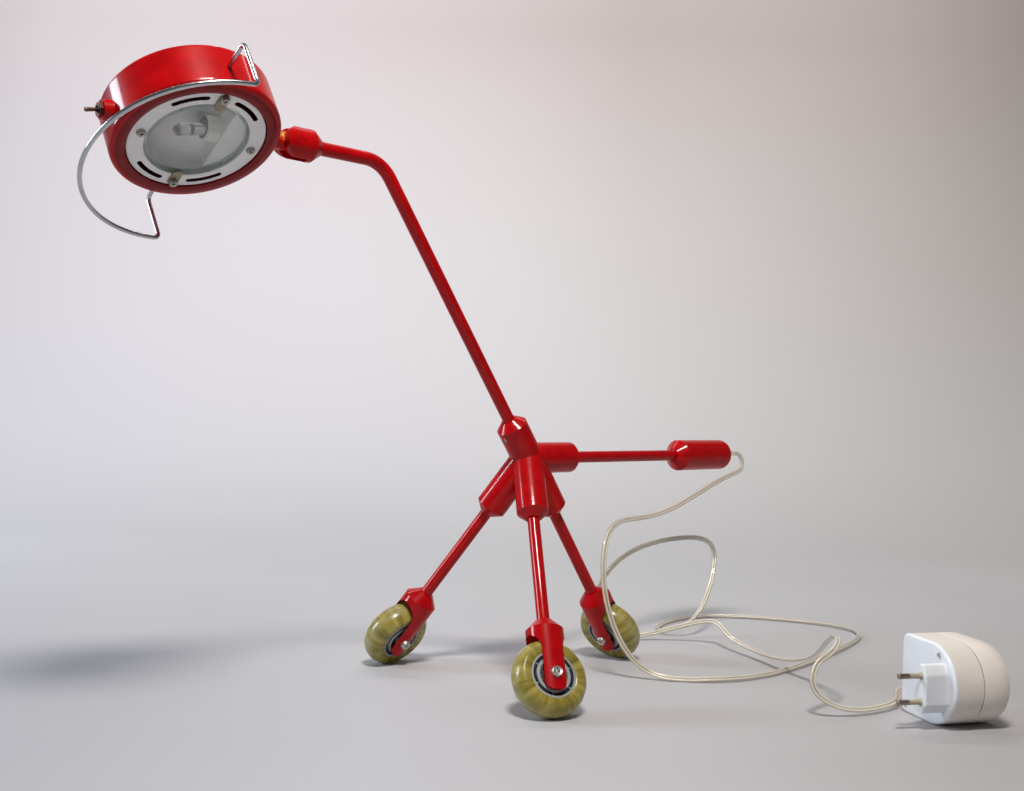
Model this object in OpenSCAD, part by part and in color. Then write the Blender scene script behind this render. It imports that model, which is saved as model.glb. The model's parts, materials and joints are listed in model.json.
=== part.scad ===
// Table lamp shaped like a dog: three legs on castors, a tail with the cord, a round head on a neck.
// Millimetres, +Z up. The origin is on the floor under the hub; the tail points to +X, the head to -X.

/* [Stand] */
// Height of the hub's centre above the floor
hub_height = 182; // [165:1:200]
// Diameter of the leg rods, the neck and the tail
rod_d = 10; // [8.5:0.5:11]
// Bore of the neck and the tail, for the wires
wire_bore = 6; // [5:0.5:7]
// Slant of the legs from the vertical, in degrees
leg_tilt = 35.4; // [33:0.2:38]
// Turn of each front leg away from the tail, in degrees
front_leg_turn = 123; // [118:1:128]
// Slant of the neck from the vertical, in degrees
neck_tilt = 36; // [32:1:40]
// Height of the neck's level run above the hub's centre
neck_rise = 220; // [190:1:250]
// Bend radius of the neck
neck_bend = 28; // [22:1:36]
// From the hub's centre to the back of the tail
tail_length = 271; // [240:1:271]

/* [Hub] */
// Diameter of the hub's five sockets
socket_d = 26; // [24:0.5:28]
// Diameter of the small end of a socket
socket_mouth = 13; // [12.5:0.5:15]
// Length of the cone at a socket's end
socket_cone = 6; // [4:0.5:8]
// From the hub's centre to the end of a leg's socket
leg_socket = 58; // [52:1:64]
// From the hub's centre to the end of the tail's socket
tail_socket = 55; // [50:1:62]
// From the hub's centre to the end of the neck's socket
neck_socket = 39; // [36:1:46]
// From the hub's centre to the seats that the rods stand on
rod_seat = 20; // [18:0.5:22]
// Diameter of the grub screws that hold the rods
grub_d = 4; // [3:0.5:5]

/* [Forks] */
// Outer diameter of a fork
fork_d = 29; // [28:0.5:31]
// Width of the slot that a wheel turns in
fork_slot = 23.4; // [22.6:0.2:24]
// Diameter of the small end of a fork
fork_mouth = 13; // [12.5:0.5:15]
// Length of the cone at a fork's small end
fork_cone = 8; // [6:0.5:9]
// From the axle up to a fork's small end
fork_above = 45.5; // [44:0.1:50]
// From the axle down to the end of a fork's ears
fork_below = 12.7; // [11:0.1:15]
// Corner radius at the end of the ears
ear_corner = 7; // [5:0.5:8]
// Turn of the left front fork on its leg at rest, in degrees
swivel_left = 24; // [-40:1:40]
// Turn of the right front fork on its leg at rest, in degrees
swivel_right = -12; // [-40:1:40]
// Turn of the hind fork on its leg at rest, in degrees
swivel_hind = -4; // [-40:1:40]
// Thickness of the web that a leg's rod stands on in its fork
swivel_web = 2.4; // [2:0.1:3]
// Diameter of the screw that keeps a fork on its leg
swivel_screw_d = 4; // [3:0.5:5]

/* [Wheels] */
// Diameter of a wheel
wheel_d = 58; // [54:0.5:60]
// Width of a wheel
wheel_w = 21; // [20:0.1:21.6]
// Radius of the tread's crown, across the tyre
crown_r = 13; // [12:0.2:14]
// Room between the tread and the fork's arch
tread_gap = 3; // [2.5:0.1:4]
// Diameter of the plastic core inside the tyre
core_d = 35; // [34:0.2:37]
// Outer diameter of the black ring in the core
ring_d = 32.2; // [31:0.1:33]
// Width of the black ring, across
ring_w = 2.7; // [2:0.1:3]
// Number of pieces that the black ring is cut into
ring_pieces = 6; // [4:1:8]
// Outer diameter of a wheel bearing
bearing_d = 22; // [20:0.2:24]
// Width of a wheel bearing
bearing_w = 7; // [6:0.2:7.6]
// Diameter of the axle sleeve
axle_d = 8; // [7.5:0.5:9]
// Diameter of the axle screws
axle_screw_d = 5; // [4:0.5:6]
// Diameter of the axle screws' heads
axle_head_d = 8.5; // [8:0.1:9.5]

/* [Tail end] */
// Diameter of the tail's end piece
tail_end_d = 29; // [26:0.5:32]
// Length of the tail's end piece
tail_end_length = 79; // [70:1:90]
// Depth of the tail tube's socket in the end piece
tail_end_socket = 16; // [12:0.5:20]
// Rounding of the end piece's back edge
tail_end_round = 7; // [5:0.5:9]
// Hole that the cord leaves by
cord_hole = 6.4; // [5.8:0.1:7.5]

/* [Knuckle] */
// From the hub's axis forward to the tilt pin
pivot_out = 234; // [225:1:245]
// Diameter of the knuckle
knuckle_d = 23; // [21:0.5:25]
// From the tilt pin back to the knuckle's small end
knuckle_back = 19.5; // [18.5:0.5:24]
// Length of the cone at the knuckle's small end
knuckle_cone = 7; // [6:0.5:8]
// Width of the knuckle's slot
knuckle_slot = 9; // [8:0.2:10]
// Diameter of the tilt pin
tilt_pin_d = 5; // [4:0.5:6]
// Diameter of the head's stem
stem_d = 12.5; // [11:0.5:13]
// Diameter of the journal that the head rolls on
journal_d = 8; // [7:0.5:9]

/* [Head] */
// Diameter of the drum
drum_d = 109.4; // [105:0.2:114]
// From the stem's axis back to the drum's back
drum_back = 17.4; // [15:0.2:20]
// From the stem's axis forward to the drum's rim
drum_front = 13.9; // [12.5:0.1:16]
// Wall of the drum
drum_wall = 1.6; // [1.2:0.1:2]
// Rounding of the drum's edges
drum_edge = 3; // [2.2:0.1:4]
// From the tilt pin to the drum's axis
head_arm = 75.6; // [74:0.2:82]
// Droop of the head at rest, in degrees
head_droop = 1.8; // [-10:0.2:10]
// Roll of the head at rest, in degrees
head_roll = 31.6; // [-40:0.2:60]
// Width of the drum's rim round the face plate
rim_w = 9.75; // [9:0.05:10.5]
// Thickness of the face plate
plate_t = 1.5; // [1.2:0.1:2]
// Depth of the face plate below the rim
plate_inset = 1; // [0.6:0.1:1.6]
// Gap round the face plate
plate_gap = 0.75; // [0.5:0.05:1.2]
// From the plate's edge in to each of the two plate screws
plate_screw_in = 6.5; // [6:0.1:6.6]
// Diameter of the posts that the plate screws go into
post_d = 6; // [5:0.1:6]
// Diameter of the small screws in the face
face_screw_d = 3; // [2.5:0.1:3]
// From the plate's edge in to the vent slots' middle line
vent_in = 5; // [4.5:0.1:5.5]
// Width of the vent slots
vent_w = 3.2; // [2.6:0.1:3.6]
// Angle that a vent slot spans
vent_span = 35; // [24:1:38]

/* [Light] */
// Width of the face plate, from its edge in to the front glass
plate_ring = 10.5; // [10.2:0.1:11.5]
// Thickness of the front glass
glass_t = 3; // [2:0.1:3.4]
// Gap round the front glass
glass_gap = 0.3; // [0.2:0.05:0.5]
// Thickness of the reflector's sheet
sheet_t = 0.8; // [0.6:0.1:1]
// Width of the reflector's flange under the glass
flange_w = 2.4; // [2:0.1:4]
// Depth of the reflector's bowl
mirror_depth = 17; // [14:0.5:18]
// From the drum's axis to the wall that the bulb comes through
wall_out = 17; // [15:0.2:18]
// Diameter of the bulb
bulb_d = 9; // [8:0.5:10]
// From the wall to the bulb's tip
bulb_reach = 25; // [20:0.5:28]
// Width of the glass clips
clip_w = 7; // [5:0.5:8]
// From the plate's edge in to the clips' screws
clip_screw_in = 3.9; // [3.6:0.1:4.6]
// Length of a clip, from its outer end to its tip on the glass
clip_length = 14; // [13:0.5:16]

/* [Handle] */
// Diameter of the handle's wire
bail_wire = 3; // [2.6:0.1:3.4]
// From the drum's axis out to the handle's sides
bail_half = 75.6; // [72:0.2:80]
// From the stem's axis forward to the handle's bow
bail_drop = 33.7; // [28:0.2:38]
// Bend radius at the handle's corners
bail_bend = 4; // [3:0.5:6]

/* [Switch] */
// Diameter of the boss at its end
boss_d = 12.5; // [11:0.5:13]
// Diameter of the boss at the drum's wall
boss_base = 14; // [13:0.5:16]
// Length of the boss beyond the drum
boss_out = 5.3; // [5:0.1:8]
// Diameter of the switch's bush
bush_d = 6; // [5.5:0.1:7]
// Thickness of the switch's nut
switch_nut_t = 2; // [1.5:0.1:2.5]
// Diameter of the lever's tip
lever_d = 2.9; // [2.4:0.1:3.2]
// From the lever's pivot to its tip
lever_length = 11; // [9:0.5:13]
// Angle between the lever's two positions
lever_throw = 22; // [16:1:24]

/* [Transformer] */
// Length of the straight part of the case's outline
case_straight = 34.3; // [32:0.1:40]
// Height of the case
case_height = 60.7; // [58:0.1:64]
// Depth of the case
case_depth = 48.7; // [46:0.1:54]
// From the case's face back to the split between its halves
case_split = 25; // [23:0.5:27]
// Wall of the case
case_wall = 2; // [1.6:0.1:2.4]
// Corner radius of the case's flat side
case_corner = 6; // [5:0.5:7]
// Width of the bevel round the case's face
case_bevel = 1.5; // [1:0.1:2]
// Draw of the case's back
case_draw = 1.3; // [0.8:0.1:1.6]
// Width of the plug's body
plug_w = 13.7; // [13:0.1:14]
// Height of the plug's body
plug_h = 35.3; // [34:0.1:36]
// Length of the plug's body
plug_depth = 19; // [17:0.5:21]
// Distance between the plug's pins
pin_spacing = 19; // [18.6:0.1:19.4]
// Diameter of the plug's pins
pin_d = 4; // [3.8:0.1:4.2]
// Length of the plug's pins
pin_length = 19; // [18.5:0.1:19.5]
// Length of the sleeve on a pin
sleeve_length = 10; // [8:0.5:10]

/* [Cord] */
// Width of the flat cord
cord_w = 5; // [4:0.2:5.4]
// Thickness of the flat cord
cord_t = 2.6; // [2:0.1:3]

/* [Hidden] */
$fn = 64;
// Clearances: pieces that are put together, pieces that turn on each other, and the sides of a joint
fit = 0.05;
running = 0.04;
side_gap = 0.3;
through = 1;

red = "#b5141b";
steel = "#c9c9c6";
white = "#f0eeea";

LEGS = ["left", "right", "hind"];
leg_turn = [front_leg_turn, -front_leg_turn, 0];
swivel = [swivel_left, swivel_right, swivel_hind];

wheel_r = wheel_d / 2;
tread_r = wheel_r - crown_r;
fork_r = fork_d / 2;
arch_top = wheel_r + tread_gap;
swivel_pocket = 3.2;
swivel_head_t = 2.4;
swivel_head_d = 8;
fork_socket = fork_above - arch_top - swivel_web - swivel_pocket;
axle_seat_d = axle_head_d + 2 * side_gap;
axle_seat = sqrt(pow(fork_r, 2) - pow(axle_seat_d / 2, 2));
ear_half = sqrt(pow(fork_r, 2) - pow(fork_slot / 2, 2));

core_half = wheel_w / 2 - 1.3;
shoulder_half = core_half - bearing_w - 0.2;
ring_groove = 2.2;
ring_t = 1.4;

neck_z = hub_height + neck_rise;
neck_corner = neck_rise / cos(neck_tilt);
neck_turn = 90 - neck_tilt;
neck_tangent = neck_bend * tan(neck_turn / 2);
neck_corner_x = -neck_rise * tan(neck_tilt);
tongue_r = 8;
tongue_half = 6;
knuckle_ear = sqrt(pow(knuckle_d / 2, 2) - pow(knuckle_slot / 2, 2));
ear_round = knuckle_ear + side_gap;
stem_shoulder = ear_round + side_gap;
slot_bottom = tongue_r + 1;
knuckle_seat = slot_bottom + 3;
neck_end_x = -pivot_out + knuckle_seat;

tail_end_front = tail_length - tail_end_length;
tail_end_seat = tail_end_front + tail_end_socket;
cord_start = 260;

drum_r = drum_d / 2;
lip_r = drum_r - rim_w;
plate_d = 2 * (lip_r - plate_gap);
plate_screw_out = plate_d / 2 - plate_screw_in;
clip_screw_out = plate_d / 2 - clip_screw_in;
vent_d = plate_d - 2 * vent_in;
glass_d = plate_d - 2 * (plate_ring + glass_gap);
plate_front = drum_front - plate_inset;
plate_back = plate_front - plate_t;
glass_back = plate_front - glass_t;
rim_r = glass_d / 2 + glass_gap;
rim_t = 0.7;
mirror_r = glass_d / 2 - flange_w;
flange_back = glass_back - sheet_t;
holder_length = 12;
bulb_neck = 7;
bulb_lift = 1;
stem_end = head_arm - drum_r - side_gap;
nut_inner = drum_r - drum_wall - 0.8;
stem_nut_t = 3;

boss_end = drum_r + boss_out;
bush_end = boss_end + switch_nut_t + 0.5;
switch_front = drum_r - drum_wall - 0.5;
switch_depth = 10;

case_r = case_height / 2;
case_inside = case_wall + case_bevel;
pin_core = pin_d - 0.8;
case_place = [171.7, -248, 0];
case_turn = 241.9;
plug_out = case_straight + case_r - 14.2;
case_exit = 32;
cord_height = 9;
relief_d = 9;
relief_out = 5;
relief_in = 4;
cord_depth = 3;
case_screws = [[44.6, 52.1], [5.5, 5.5]];
case_screw_d = 3;
case_screw_pocket = 5;
core_w = case_straight - case_corner - 2;
core_t = case_depth - case_inside - case_wall - case_draw - 6;
core_h = case_height - 2 * case_wall - 10;
core_front = case_inside + 3;
coil_out = 2.5;

// Points that steer the cord: out of the tail, down to the floor, round in loops, into the transformer
CORD = [
    [cord_start, 0, 182], [283, 0, 182], [301, 0, 185], [305, -5, 165], [264, -10, 163],
    [170, -19, 131], [112, -26, 128], [58, -36, 131], [40, -50, 66], [76, -62, -2],
    [108, -110, 4], [170, -134, 2], [290, -118, 4], [408, -94, 2], [426, -42, 3],
    [372, 48, 2], [312, 82, 2], [216, 49, 2], [242, 4, 10], [292, 22, 48],
    [308, 28, 92], [262, 38, 97], [190, 52, 88], [146, 57, 50], [162, 64, -4],
    [206, 22, 6], [239, -25, 30], [225, -43, 13], [219, -80, 8], [204, -109, 9],
    [192, -141, 14], [180, -167, 24], [164, -183, 37], [153, -199, 52], [141, -211, 53],
    [128, -217, 48], [115, -216, 43], [106, -214, 40], [99, -214, 31], [97, -216, 22],
    [101, -221, 14], [112, -230, 7], [130, -238, 4], [153, -245, 5], [177, -245, 6],
    [195, -231, 8], [212, -235, 9], [207, -251, 9], [199, -265, 9],
];
cord_steps = 2;
cord_sides = 8;

// Distance from a leaning wheel's centre down to its lowest point, for a fork turned by an angle
function wheel_drop(turn) = tread_r * sqrt(1 - pow(sin(leg_tilt) * cos(turn), 2)) + crown_r;
// Distance from the hub's centre to an axle, so that every wheel stands on the floor
function axle_out(i) = (hub_height - wheel_drop(swivel[i])) / cos(leg_tilt);
// End of a leg's rod, just above the web in its fork
function rod_end(i) = axle_out(i) - fork_above + fork_socket - running;
// Points of an arc in a profile
function arc(x, y, r, from, to, steps = 6) =
    [for (k = [0:steps]) let (a = from + (to - from) * k / steps) [x + r * cos(a), y + r * sin(a)]];

module at_hub() translate([0, 0, hub_height]) children();
module on_leg(i) at_hub() rotate([0, 0, leg_turn[i]]) rotate([0, 180 - leg_tilt, 0]) children();
module on_fork(i) on_leg(i) rotate([0, 0, swivel[i]]) translate([0, 0, axle_out(i)]) children();
module on_axle(i) on_fork(i) rotate([0, 90, 0]) children();
module on_neck() at_hub() rotate([0, -neck_tilt, 0]) children();
module on_tail() at_hub() rotate([0, 90, 0]) children();
module on_pivot() translate([-pivot_out, 0, neck_z]) children();
module on_stem() on_pivot() rotate([0, -head_droop, 0]) children();
module on_head() on_stem() rotate([-head_roll, 0, 0]) translate([-head_arm, 0, 0]) children();
module on_case() translate(case_place) rotate([0, 0, case_turn]) children();
// Turns a shape that stands on Z so that it points along X, at an angle round a rod
module outward(along, angle) translate([0, 0, along]) rotate([0, 0, angle])
    rotate([0, 90, 0]) children();

// Hub and rods

module socket(length) {
    cylinder(d = socket_d, h = length - socket_cone);
    translate([0, 0, length - socket_cone]) cylinder(d1 = socket_d, d2 = socket_mouth, h = socket_cone);
}

module rod_bore(length) translate([0, 0, rod_seat]) cylinder(d = rod_d + 2 * fit, h = length);

module wire_channel() translate([0, 0, -wire_bore / 2])
    cylinder(d = wire_bore, h = rod_seat + wire_bore);

// Distance of a socket's grub screw from the hub's centre
function grub_place(length) = length - socket_cone - 1.5 * grub_d;

module at_hub_grubs() {
    for (i = [0:2]) on_leg(i) outward(grub_place(leg_socket), 0) children();
    on_neck() outward(grub_place(neck_socket), 180) children();
    on_tail() outward(grub_place(tail_socket), 0) children();
}

module at_tail_grub() on_tail() outward(tail_end_front + fork_cone + grub_d, 0) children();

module grub_hole() cylinder(d = grub_d + 2 * fit, h = socket_d);

module grub(outer_d) {
    length = (outer_d - rod_d) / 2 - 0.6;
    translate([0, 0, rod_d / 2]) difference() {
        cylinder(d = grub_d, h = length);
        translate([0, 0, length - grub_d / 2]) cylinder(d = grub_d / 2, h = grub_d, $fn = 6);
    }
}

module hub() color(red) difference() {
    union() {
        for (i = [0:2]) on_leg(i) socket(leg_socket);
        on_neck() socket(neck_socket);
        on_tail() socket(tail_socket);
    }
    for (i = [0:2]) on_leg(i) rod_bore(leg_socket);
    on_neck() {
        rod_bore(neck_socket);
        wire_channel();
    }
    on_tail() {
        rod_bore(tail_socket);
        wire_channel();
    }
    at_hub_grubs() grub_hole();
}

module grub_screws() color(steel) {
    at_hub_grubs() grub(socket_d);
    at_tail_grub() grub(tail_end_d);
}

module leg_rod(i) color(red) on_leg(i) difference() {
    translate([0, 0, rod_seat]) cylinder(d = rod_d, h = rod_end(i) - rod_seat);
    translate([0, 0, rod_end(i) - 3 * swivel_screw_d])
        cylinder(d = swivel_screw_d + 2 * fit, h = 4 * swivel_screw_d);
}

module swivel_screws() color(steel) for (i = [0:2]) on_leg(i) {
    head_top = rod_end(i) + swivel_web + 2 * running;
    translate([0, 0, rod_end(i) - 2 * swivel_screw_d])
        cylinder(d = swivel_screw_d, h = head_top - rod_end(i) + 2 * swivel_screw_d);
    translate([0, 0, head_top]) cylinder(d = swivel_head_d, h = swivel_head_t);
}

// A round bar along the neck: straight up from the hub, round the bend, and level to the knuckle.
// Both straight runs reach a little way into the bend, which is a hair thicker.
module neck_bar(d, from) {
    lap = 0.5;
    on_neck() translate([0, 0, from]) cylinder(d = d, h = neck_corner - neck_tangent - from + lap);
    translate([neck_corner_x - neck_tangent, 0, neck_z - neck_bend]) rotate([90, 0, 0])
        rotate([0, 0, 90 - neck_turn]) rotate_extrude(angle = neck_turn) translate([neck_bend, 0])
            circle(d = d + 0.02);
    translate([neck_end_x, 0, neck_z]) rotate([0, 90, 0])
        cylinder(d = d, h = neck_corner_x - neck_tangent - neck_end_x + lap);
}

module neck_tube() color(red) difference() {
    neck_bar(rod_d, rod_seat);
    neck_bar(wire_bore, rod_seat);
}

module tail_tube() color(red) on_tail() translate([0, 0, rod_seat]) difference() {
    cylinder(d = rod_d, h = tail_end_seat - rod_seat);
    translate([0, 0, -through]) cylinder(d = wire_bore, h = tail_end_seat);
}

module tail_end() color(red) difference() {
    on_tail() translate([0, 0, tail_end_front]) difference() {
        rotate_extrude() polygon(concat(
            [[0, 0], [fork_mouth / 2, 0], [tail_end_d / 2, fork_cone]],
            arc(tail_end_d / 2 - tail_end_round, tail_end_length - tail_end_round,
                tail_end_round, 0, 90),
            [[0, tail_end_length]]));
        translate([0, 0, -through]) cylinder(d = rod_d + 2 * fit, h = tail_end_socket + through);
        cylinder(d = cord_hole, h = tail_end_length + through);
    }
    at_tail_grub() grub_hole();
}

// The wires inside the tail, the hub and the neck
module inner_flex() color("tan") {
    flex_d = wire_bore - 2.4;
    on_tail() cylinder(d = flex_d, h = cord_start);
    on_neck() translate([0, 0, -flex_d / 4]) cylinder(d = flex_d, h = rod_seat + flex_d);
    neck_bar(flex_d, rod_seat);
}

// Forks and wheels

module pan_head(d) {
    rotate_extrude() polygon(concat([[0, 0], [d / 2, 0]], arc(0, 0.1 * d, d / 2, 0, 36, 3),
        [[0.25 * d, 0.32 * d], [0, 0.34 * d]]));
}

// A pan-head screw that points down: its head stands on Z = 0, with a cross recess
module cross_screw(d, head_d, length) {
    difference() {
        pan_head(head_d);
        for (turn = [0, 90]) rotate([0, 0, turn])
            translate([-0.26 * head_d, -0.05 * head_d, 0.16 * head_d])
            cube([0.52 * head_d, 0.1 * head_d, head_d]);
    }
    translate([0, 0, -length]) cylinder(d = d, h = length + 0.05 * head_d);
}

module fork_slot_outline() {
    arch_r = fork_slot / 2;
    translate([0, -(arch_top - arch_r)]) circle(r = arch_r);
    translate([-arch_r, -(arch_top - arch_r)]) square([fork_slot, arch_top + fork_below]);
}

module ear_outline() {
    translate([-fork_r, -fork_above - through])
        square([fork_d, fork_above + through + fork_below - ear_corner]);
    translate([-ear_half + ear_corner, 0]) square([2 * (ear_half - ear_corner), fork_below]);
    for (side = [-1, 1]) translate([side * (ear_half - ear_corner), fork_below - ear_corner])
        circle(r = ear_corner);
}

module fork(i) color(red) on_fork(i) difference() {
    intersection() {
        translate([0, 0, -fork_above]) {
            cylinder(d1 = fork_mouth, d2 = fork_d, h = fork_cone);
            translate([0, 0, fork_cone]) cylinder(d = fork_d, h = fork_above + fork_below - fork_cone);
        }
        rotate([0, 0, 90]) rotate([90, 0, 0]) linear_extrude(fork_d, center = true) ear_outline();
    }
    rotate([90, 0, 0]) linear_extrude(fork_d, center = true) fork_slot_outline();
    translate([0, 0, -fork_above - through])
        cylinder(d = rod_d + 2 * running, h = fork_socket + through);
    translate([0, 0, -fork_above])
        cylinder(d = swivel_screw_d + 2 * fit, h = fork_above - arch_top + through);
    translate([0, 0, -arch_top - swivel_pocket])
        cylinder(d = swivel_head_d + 2 * side_gap, h = swivel_pocket + tread_gap);
    rotate([0, 90, 0]) cylinder(d = axle_screw_d + 2 * fit, h = fork_d, center = true);
    for (side = [-90, 90]) rotate([0, side, 0]) translate([0, 0, axle_seat])
        cylinder(d = axle_seat_d, h = fork_r);
}

module axle_sleeve(i) color(steel) on_axle(i) difference() {
    cylinder(d = axle_d, h = fork_slot, center = true);
    cylinder(d = axle_screw_d + 2 * fit, h = fork_slot + through, center = true);
}

module axle_screws(i) color(steel) on_axle(i) for (side = [0, 180])
    rotate([side, 0, 0]) translate([0, 0, axle_seat])
        cross_screw(axle_screw_d, axle_head_d, axle_seat - fit);

module tyre(i) color("#a89a4a") on_axle(i) rotate_extrude() {
    shoulder = asin(wheel_w / 2 / crown_r);
    polygon(concat([[core_d / 2 + fit, -core_half], [core_d / 2 + 2, -core_half - 0.4]],
        arc(tread_r, 0, crown_r, -shoulder, shoulder, 16),
        [[core_d / 2 + 2, core_half + 0.4], [core_d / 2 + fit, core_half]]));
}

module wheel_core(i) color("#c5c9cb") on_axle(i) rotate_extrude() difference() {
    translate([bearing_d / 2 - 2, -core_half]) square([core_d / 2 - bearing_d / 2 + 2, 2 * core_half]);
    for (side = [-1, 1]) {
        translate([0, side > 0 ? shoulder_half : -core_half - through])
            square([bearing_d / 2 + fit, core_half + through - shoulder_half]);
        translate([ring_d / 2 - ring_w, side > 0 ? core_half - ring_groove : -core_half - through])
            square([ring_w, ring_groove + through]);
    }
}

module core_rings(i) color("#15181a") on_axle(i) for (side = [0, 180]) rotate([side, 0, 0]) {
    pitch = 360 / ring_pieces;
    for (k = [0:ring_pieces - 1]) rotate([0, 0, k * pitch]) rotate_extrude(angle = pitch - 9)
        translate([ring_d / 2 - ring_w + fit, core_half - ring_groove])
            square([ring_w - 2 * fit, ring_t]);
}

module bearings(i) color("#b9bcc0") on_axle(i) for (side = [0, 180]) rotate([side, 0, 0])
    translate([0, 0, shoulder_half]) difference() {
        cylinder(d = bearing_d, h = bearing_w);
        translate([0, 0, -through]) cylinder(d = axle_d + 2 * running, h = bearing_w + 2 * through);
        translate([0, 0, bearing_w - 0.5]) difference() {
            cylinder(d = bearing_d - 4, h = through);
            cylinder(d = axle_d + 4, h = through);
        }
    }

// Knuckle and stem

// Knuckle along Z: round ears at the front, a slot for the tongue, and a cone on the neck's end
module knuckle() color(red) on_pivot() rotate([0, 90, 0]) difference() {
    intersection() {
        union() {
            translate([0, 0, -ear_round])
                cylinder(d = knuckle_d, h = ear_round + knuckle_back - knuckle_cone);
            translate([0, 0, knuckle_back - knuckle_cone])
                cylinder(d1 = knuckle_d, d2 = socket_mouth, h = knuckle_cone);
        }
        union() {
            rotate([90, 0, 0]) cylinder(r = ear_round, h = 2 * knuckle_d, center = true);
            translate([-knuckle_d, -knuckle_d, 0]) cube([2 * knuckle_d, 2 * knuckle_d, knuckle_back]);
        }
    }
    translate([-knuckle_d, -knuckle_slot / 2, -ear_round - through])
        cube([2 * knuckle_d, knuckle_slot, ear_round + through + slot_bottom]);
    translate([0, 0, knuckle_seat]) cylinder(d = rod_d + 2 * fit, h = knuckle_back);
    translate([0, 0, slot_bottom - through]) cylinder(d = wire_bore, h = knuckle_back);
    rotate([90, 0, 0]) cylinder(d = tilt_pin_d + 2 * fit, h = knuckle_d + through, center = true);
}

module tilt_pin() color(red) on_pivot() rotate([90, 0, 0])
    cylinder(d = tilt_pin_d, h = knuckle_d - 0.6, center = true);

module head_stem() color(red) on_stem() difference() {
    tongue_t = knuckle_slot - 2 * side_gap;
    union() {
        rotate([90, 0, 0]) cylinder(r = tongue_r, h = tongue_t, center = true);
        translate([-stem_shoulder - through, -tongue_t / 2, -tongue_half])
            cube([stem_shoulder + through, tongue_t, 2 * tongue_half]);
        translate([-stem_end, 0, 0]) rotate([0, 90, 0])
            cylinder(d = stem_d, h = stem_end - stem_shoulder);
        translate([-head_arm + nut_inner - stem_nut_t - through, 0, 0]) rotate([0, 90, 0])
            cylinder(d = journal_d,
                h = head_arm - nut_inner + stem_nut_t + through - stem_shoulder - 2);
    }
    rotate([90, 0, 0]) cylinder(d = tilt_pin_d + 2 * running, h = knuckle_d, center = true);
}

module stem_nut() color(steel) on_stem() translate([-head_arm + nut_inner - stem_nut_t, 0, 0])
    rotate([0, 90, 0])
    difference() {
        cylinder(d = journal_d + 6, h = stem_nut_t, $fn = 6);
        translate([0, 0, -through]) cylinder(d = journal_d + 2 * fit, h = stem_nut_t + 2 * through);
    }

// Head

module drum_shell() rotate_extrude() {
    inner_edge = drum_edge - drum_wall;
    edge_x = drum_r - drum_edge;
    polygon(concat(
        [[0, drum_back]], arc(edge_x, drum_back - drum_edge, drum_edge, 90, 0),
        arc(edge_x, -drum_front + drum_edge, drum_edge, 0, -90),
        [[lip_r, -drum_front], [lip_r, -drum_front + drum_wall]],
        arc(edge_x, -drum_front + drum_edge, inner_edge, -90, 0),
        arc(edge_x, drum_back - drum_edge, inner_edge, 0, 90), [[0, drum_back - drum_wall]]));
}

module drum() color(red) on_head() difference() {
    union() {
        drum_shell();
        translate([-drum_r + drum_wall / 2, 0, 0]) rotate([0, -90, 0])
            cylinder(d1 = boss_base, d2 = boss_d, h = boss_out + drum_wall / 2);
        for (side = [-1, 1]) translate([side * plate_screw_out, 0, -plate_back])
            cylinder(d = post_d, h = plate_back + drum_back - drum_wall / 2);
    }
    for (side = [-1, 1]) translate([side * plate_screw_out, 0, -plate_back - through])
        cylinder(d = face_screw_d + 2 * fit, h = 10 + through);
    translate([drum_r - 2 * drum_wall, 0, 0]) rotate([0, 90, 0])
        cylinder(d = journal_d + 2 * running, h = 4 * drum_wall);
    translate([-drum_r + 2 * drum_wall, 0, 0]) rotate([0, -90, 0])
        cylinder(d = bush_d + 2 * fit, h = boss_out + 4 * drum_wall);
    for (side = [-90, 90]) rotate([side, 0, 0]) translate([0, 0, drum_r - 2 * drum_wall])
        cylinder(d = bail_wire + 2 * running, h = 4 * drum_wall);
}

module vent_slot() rotate_extrude(angle = vent_span) translate([vent_d / 2 - vent_w / 2, 0])
    square([vent_w, plate_t + 2 * through]);

module face_plate() color(white) on_head() translate([0, 0, -plate_front]) difference() {
    cylinder(d = plate_d, h = plate_t);
    translate([0, 0, -through]) {
        cylinder(d = glass_d + 2 * glass_gap, h = plate_t + 2 * through);
        for (side = [-1, 1]) {
            translate([side * plate_screw_out, 0, 0])
                cylinder(d = face_screw_d + 2 * fit, h = plate_t + 2 * through);
            translate([0, side * clip_screw_out, 0])
                cylinder(d = face_screw_d + 2 * fit, h = plate_t + 2 * through);
        }
        for (middle = [60, 120, 240, 300]) rotate([0, 0, middle - vent_span / 2]) vent_slot();
    }
}

module plate_screws() color(steel) on_head() for (side = [-1, 1])
    translate([side * plate_screw_out, 0, -plate_front]) rotate([180, 0, 0])
        cross_screw(face_screw_d, 2 * face_screw_d, 8);

// The reflector's bowl as a solid of revolution, larger than its inner face by an offset
module bowl(offset) rotate_extrude() polygon(concat([[0, -glass_back]],
    [for (k = [0:10]) [
        (mirror_r + offset) * cos(9 * k), -glass_back + (mirror_depth + offset) * sin(9 * k)
    ]]));

module stem_side(out, room) translate([out, -drum_r, -drum_r]) cube([drum_r, drum_d, drum_r + room]);

module reflector() color("#b4b4b0") on_head() {
    difference() {
        bowl(sheet_t);
        bowl(0);
        translate([wall_out - sheet_t, -drum_r, -flange_back]) cube([drum_r, drum_d, drum_r]);
        translate([0, 0, -glass_back - through]) cylinder(r = mirror_r, h = through + sheet_t / 4);
    }
    translate([0, 0, -glass_back]) difference() {
        cylinder(r = rim_r + rim_t, h = sheet_t);
        translate([0, 0, -through]) cylinder(r = mirror_r, h = sheet_t + 2 * through);
    }
    translate([0, 0, -plate_back]) difference() {
        cylinder(r = rim_r + rim_t, h = plate_back - flange_back);
        translate([0, 0, -through]) cylinder(r = rim_r, h = plate_back - flange_back + 2 * through);
    }
}

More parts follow.
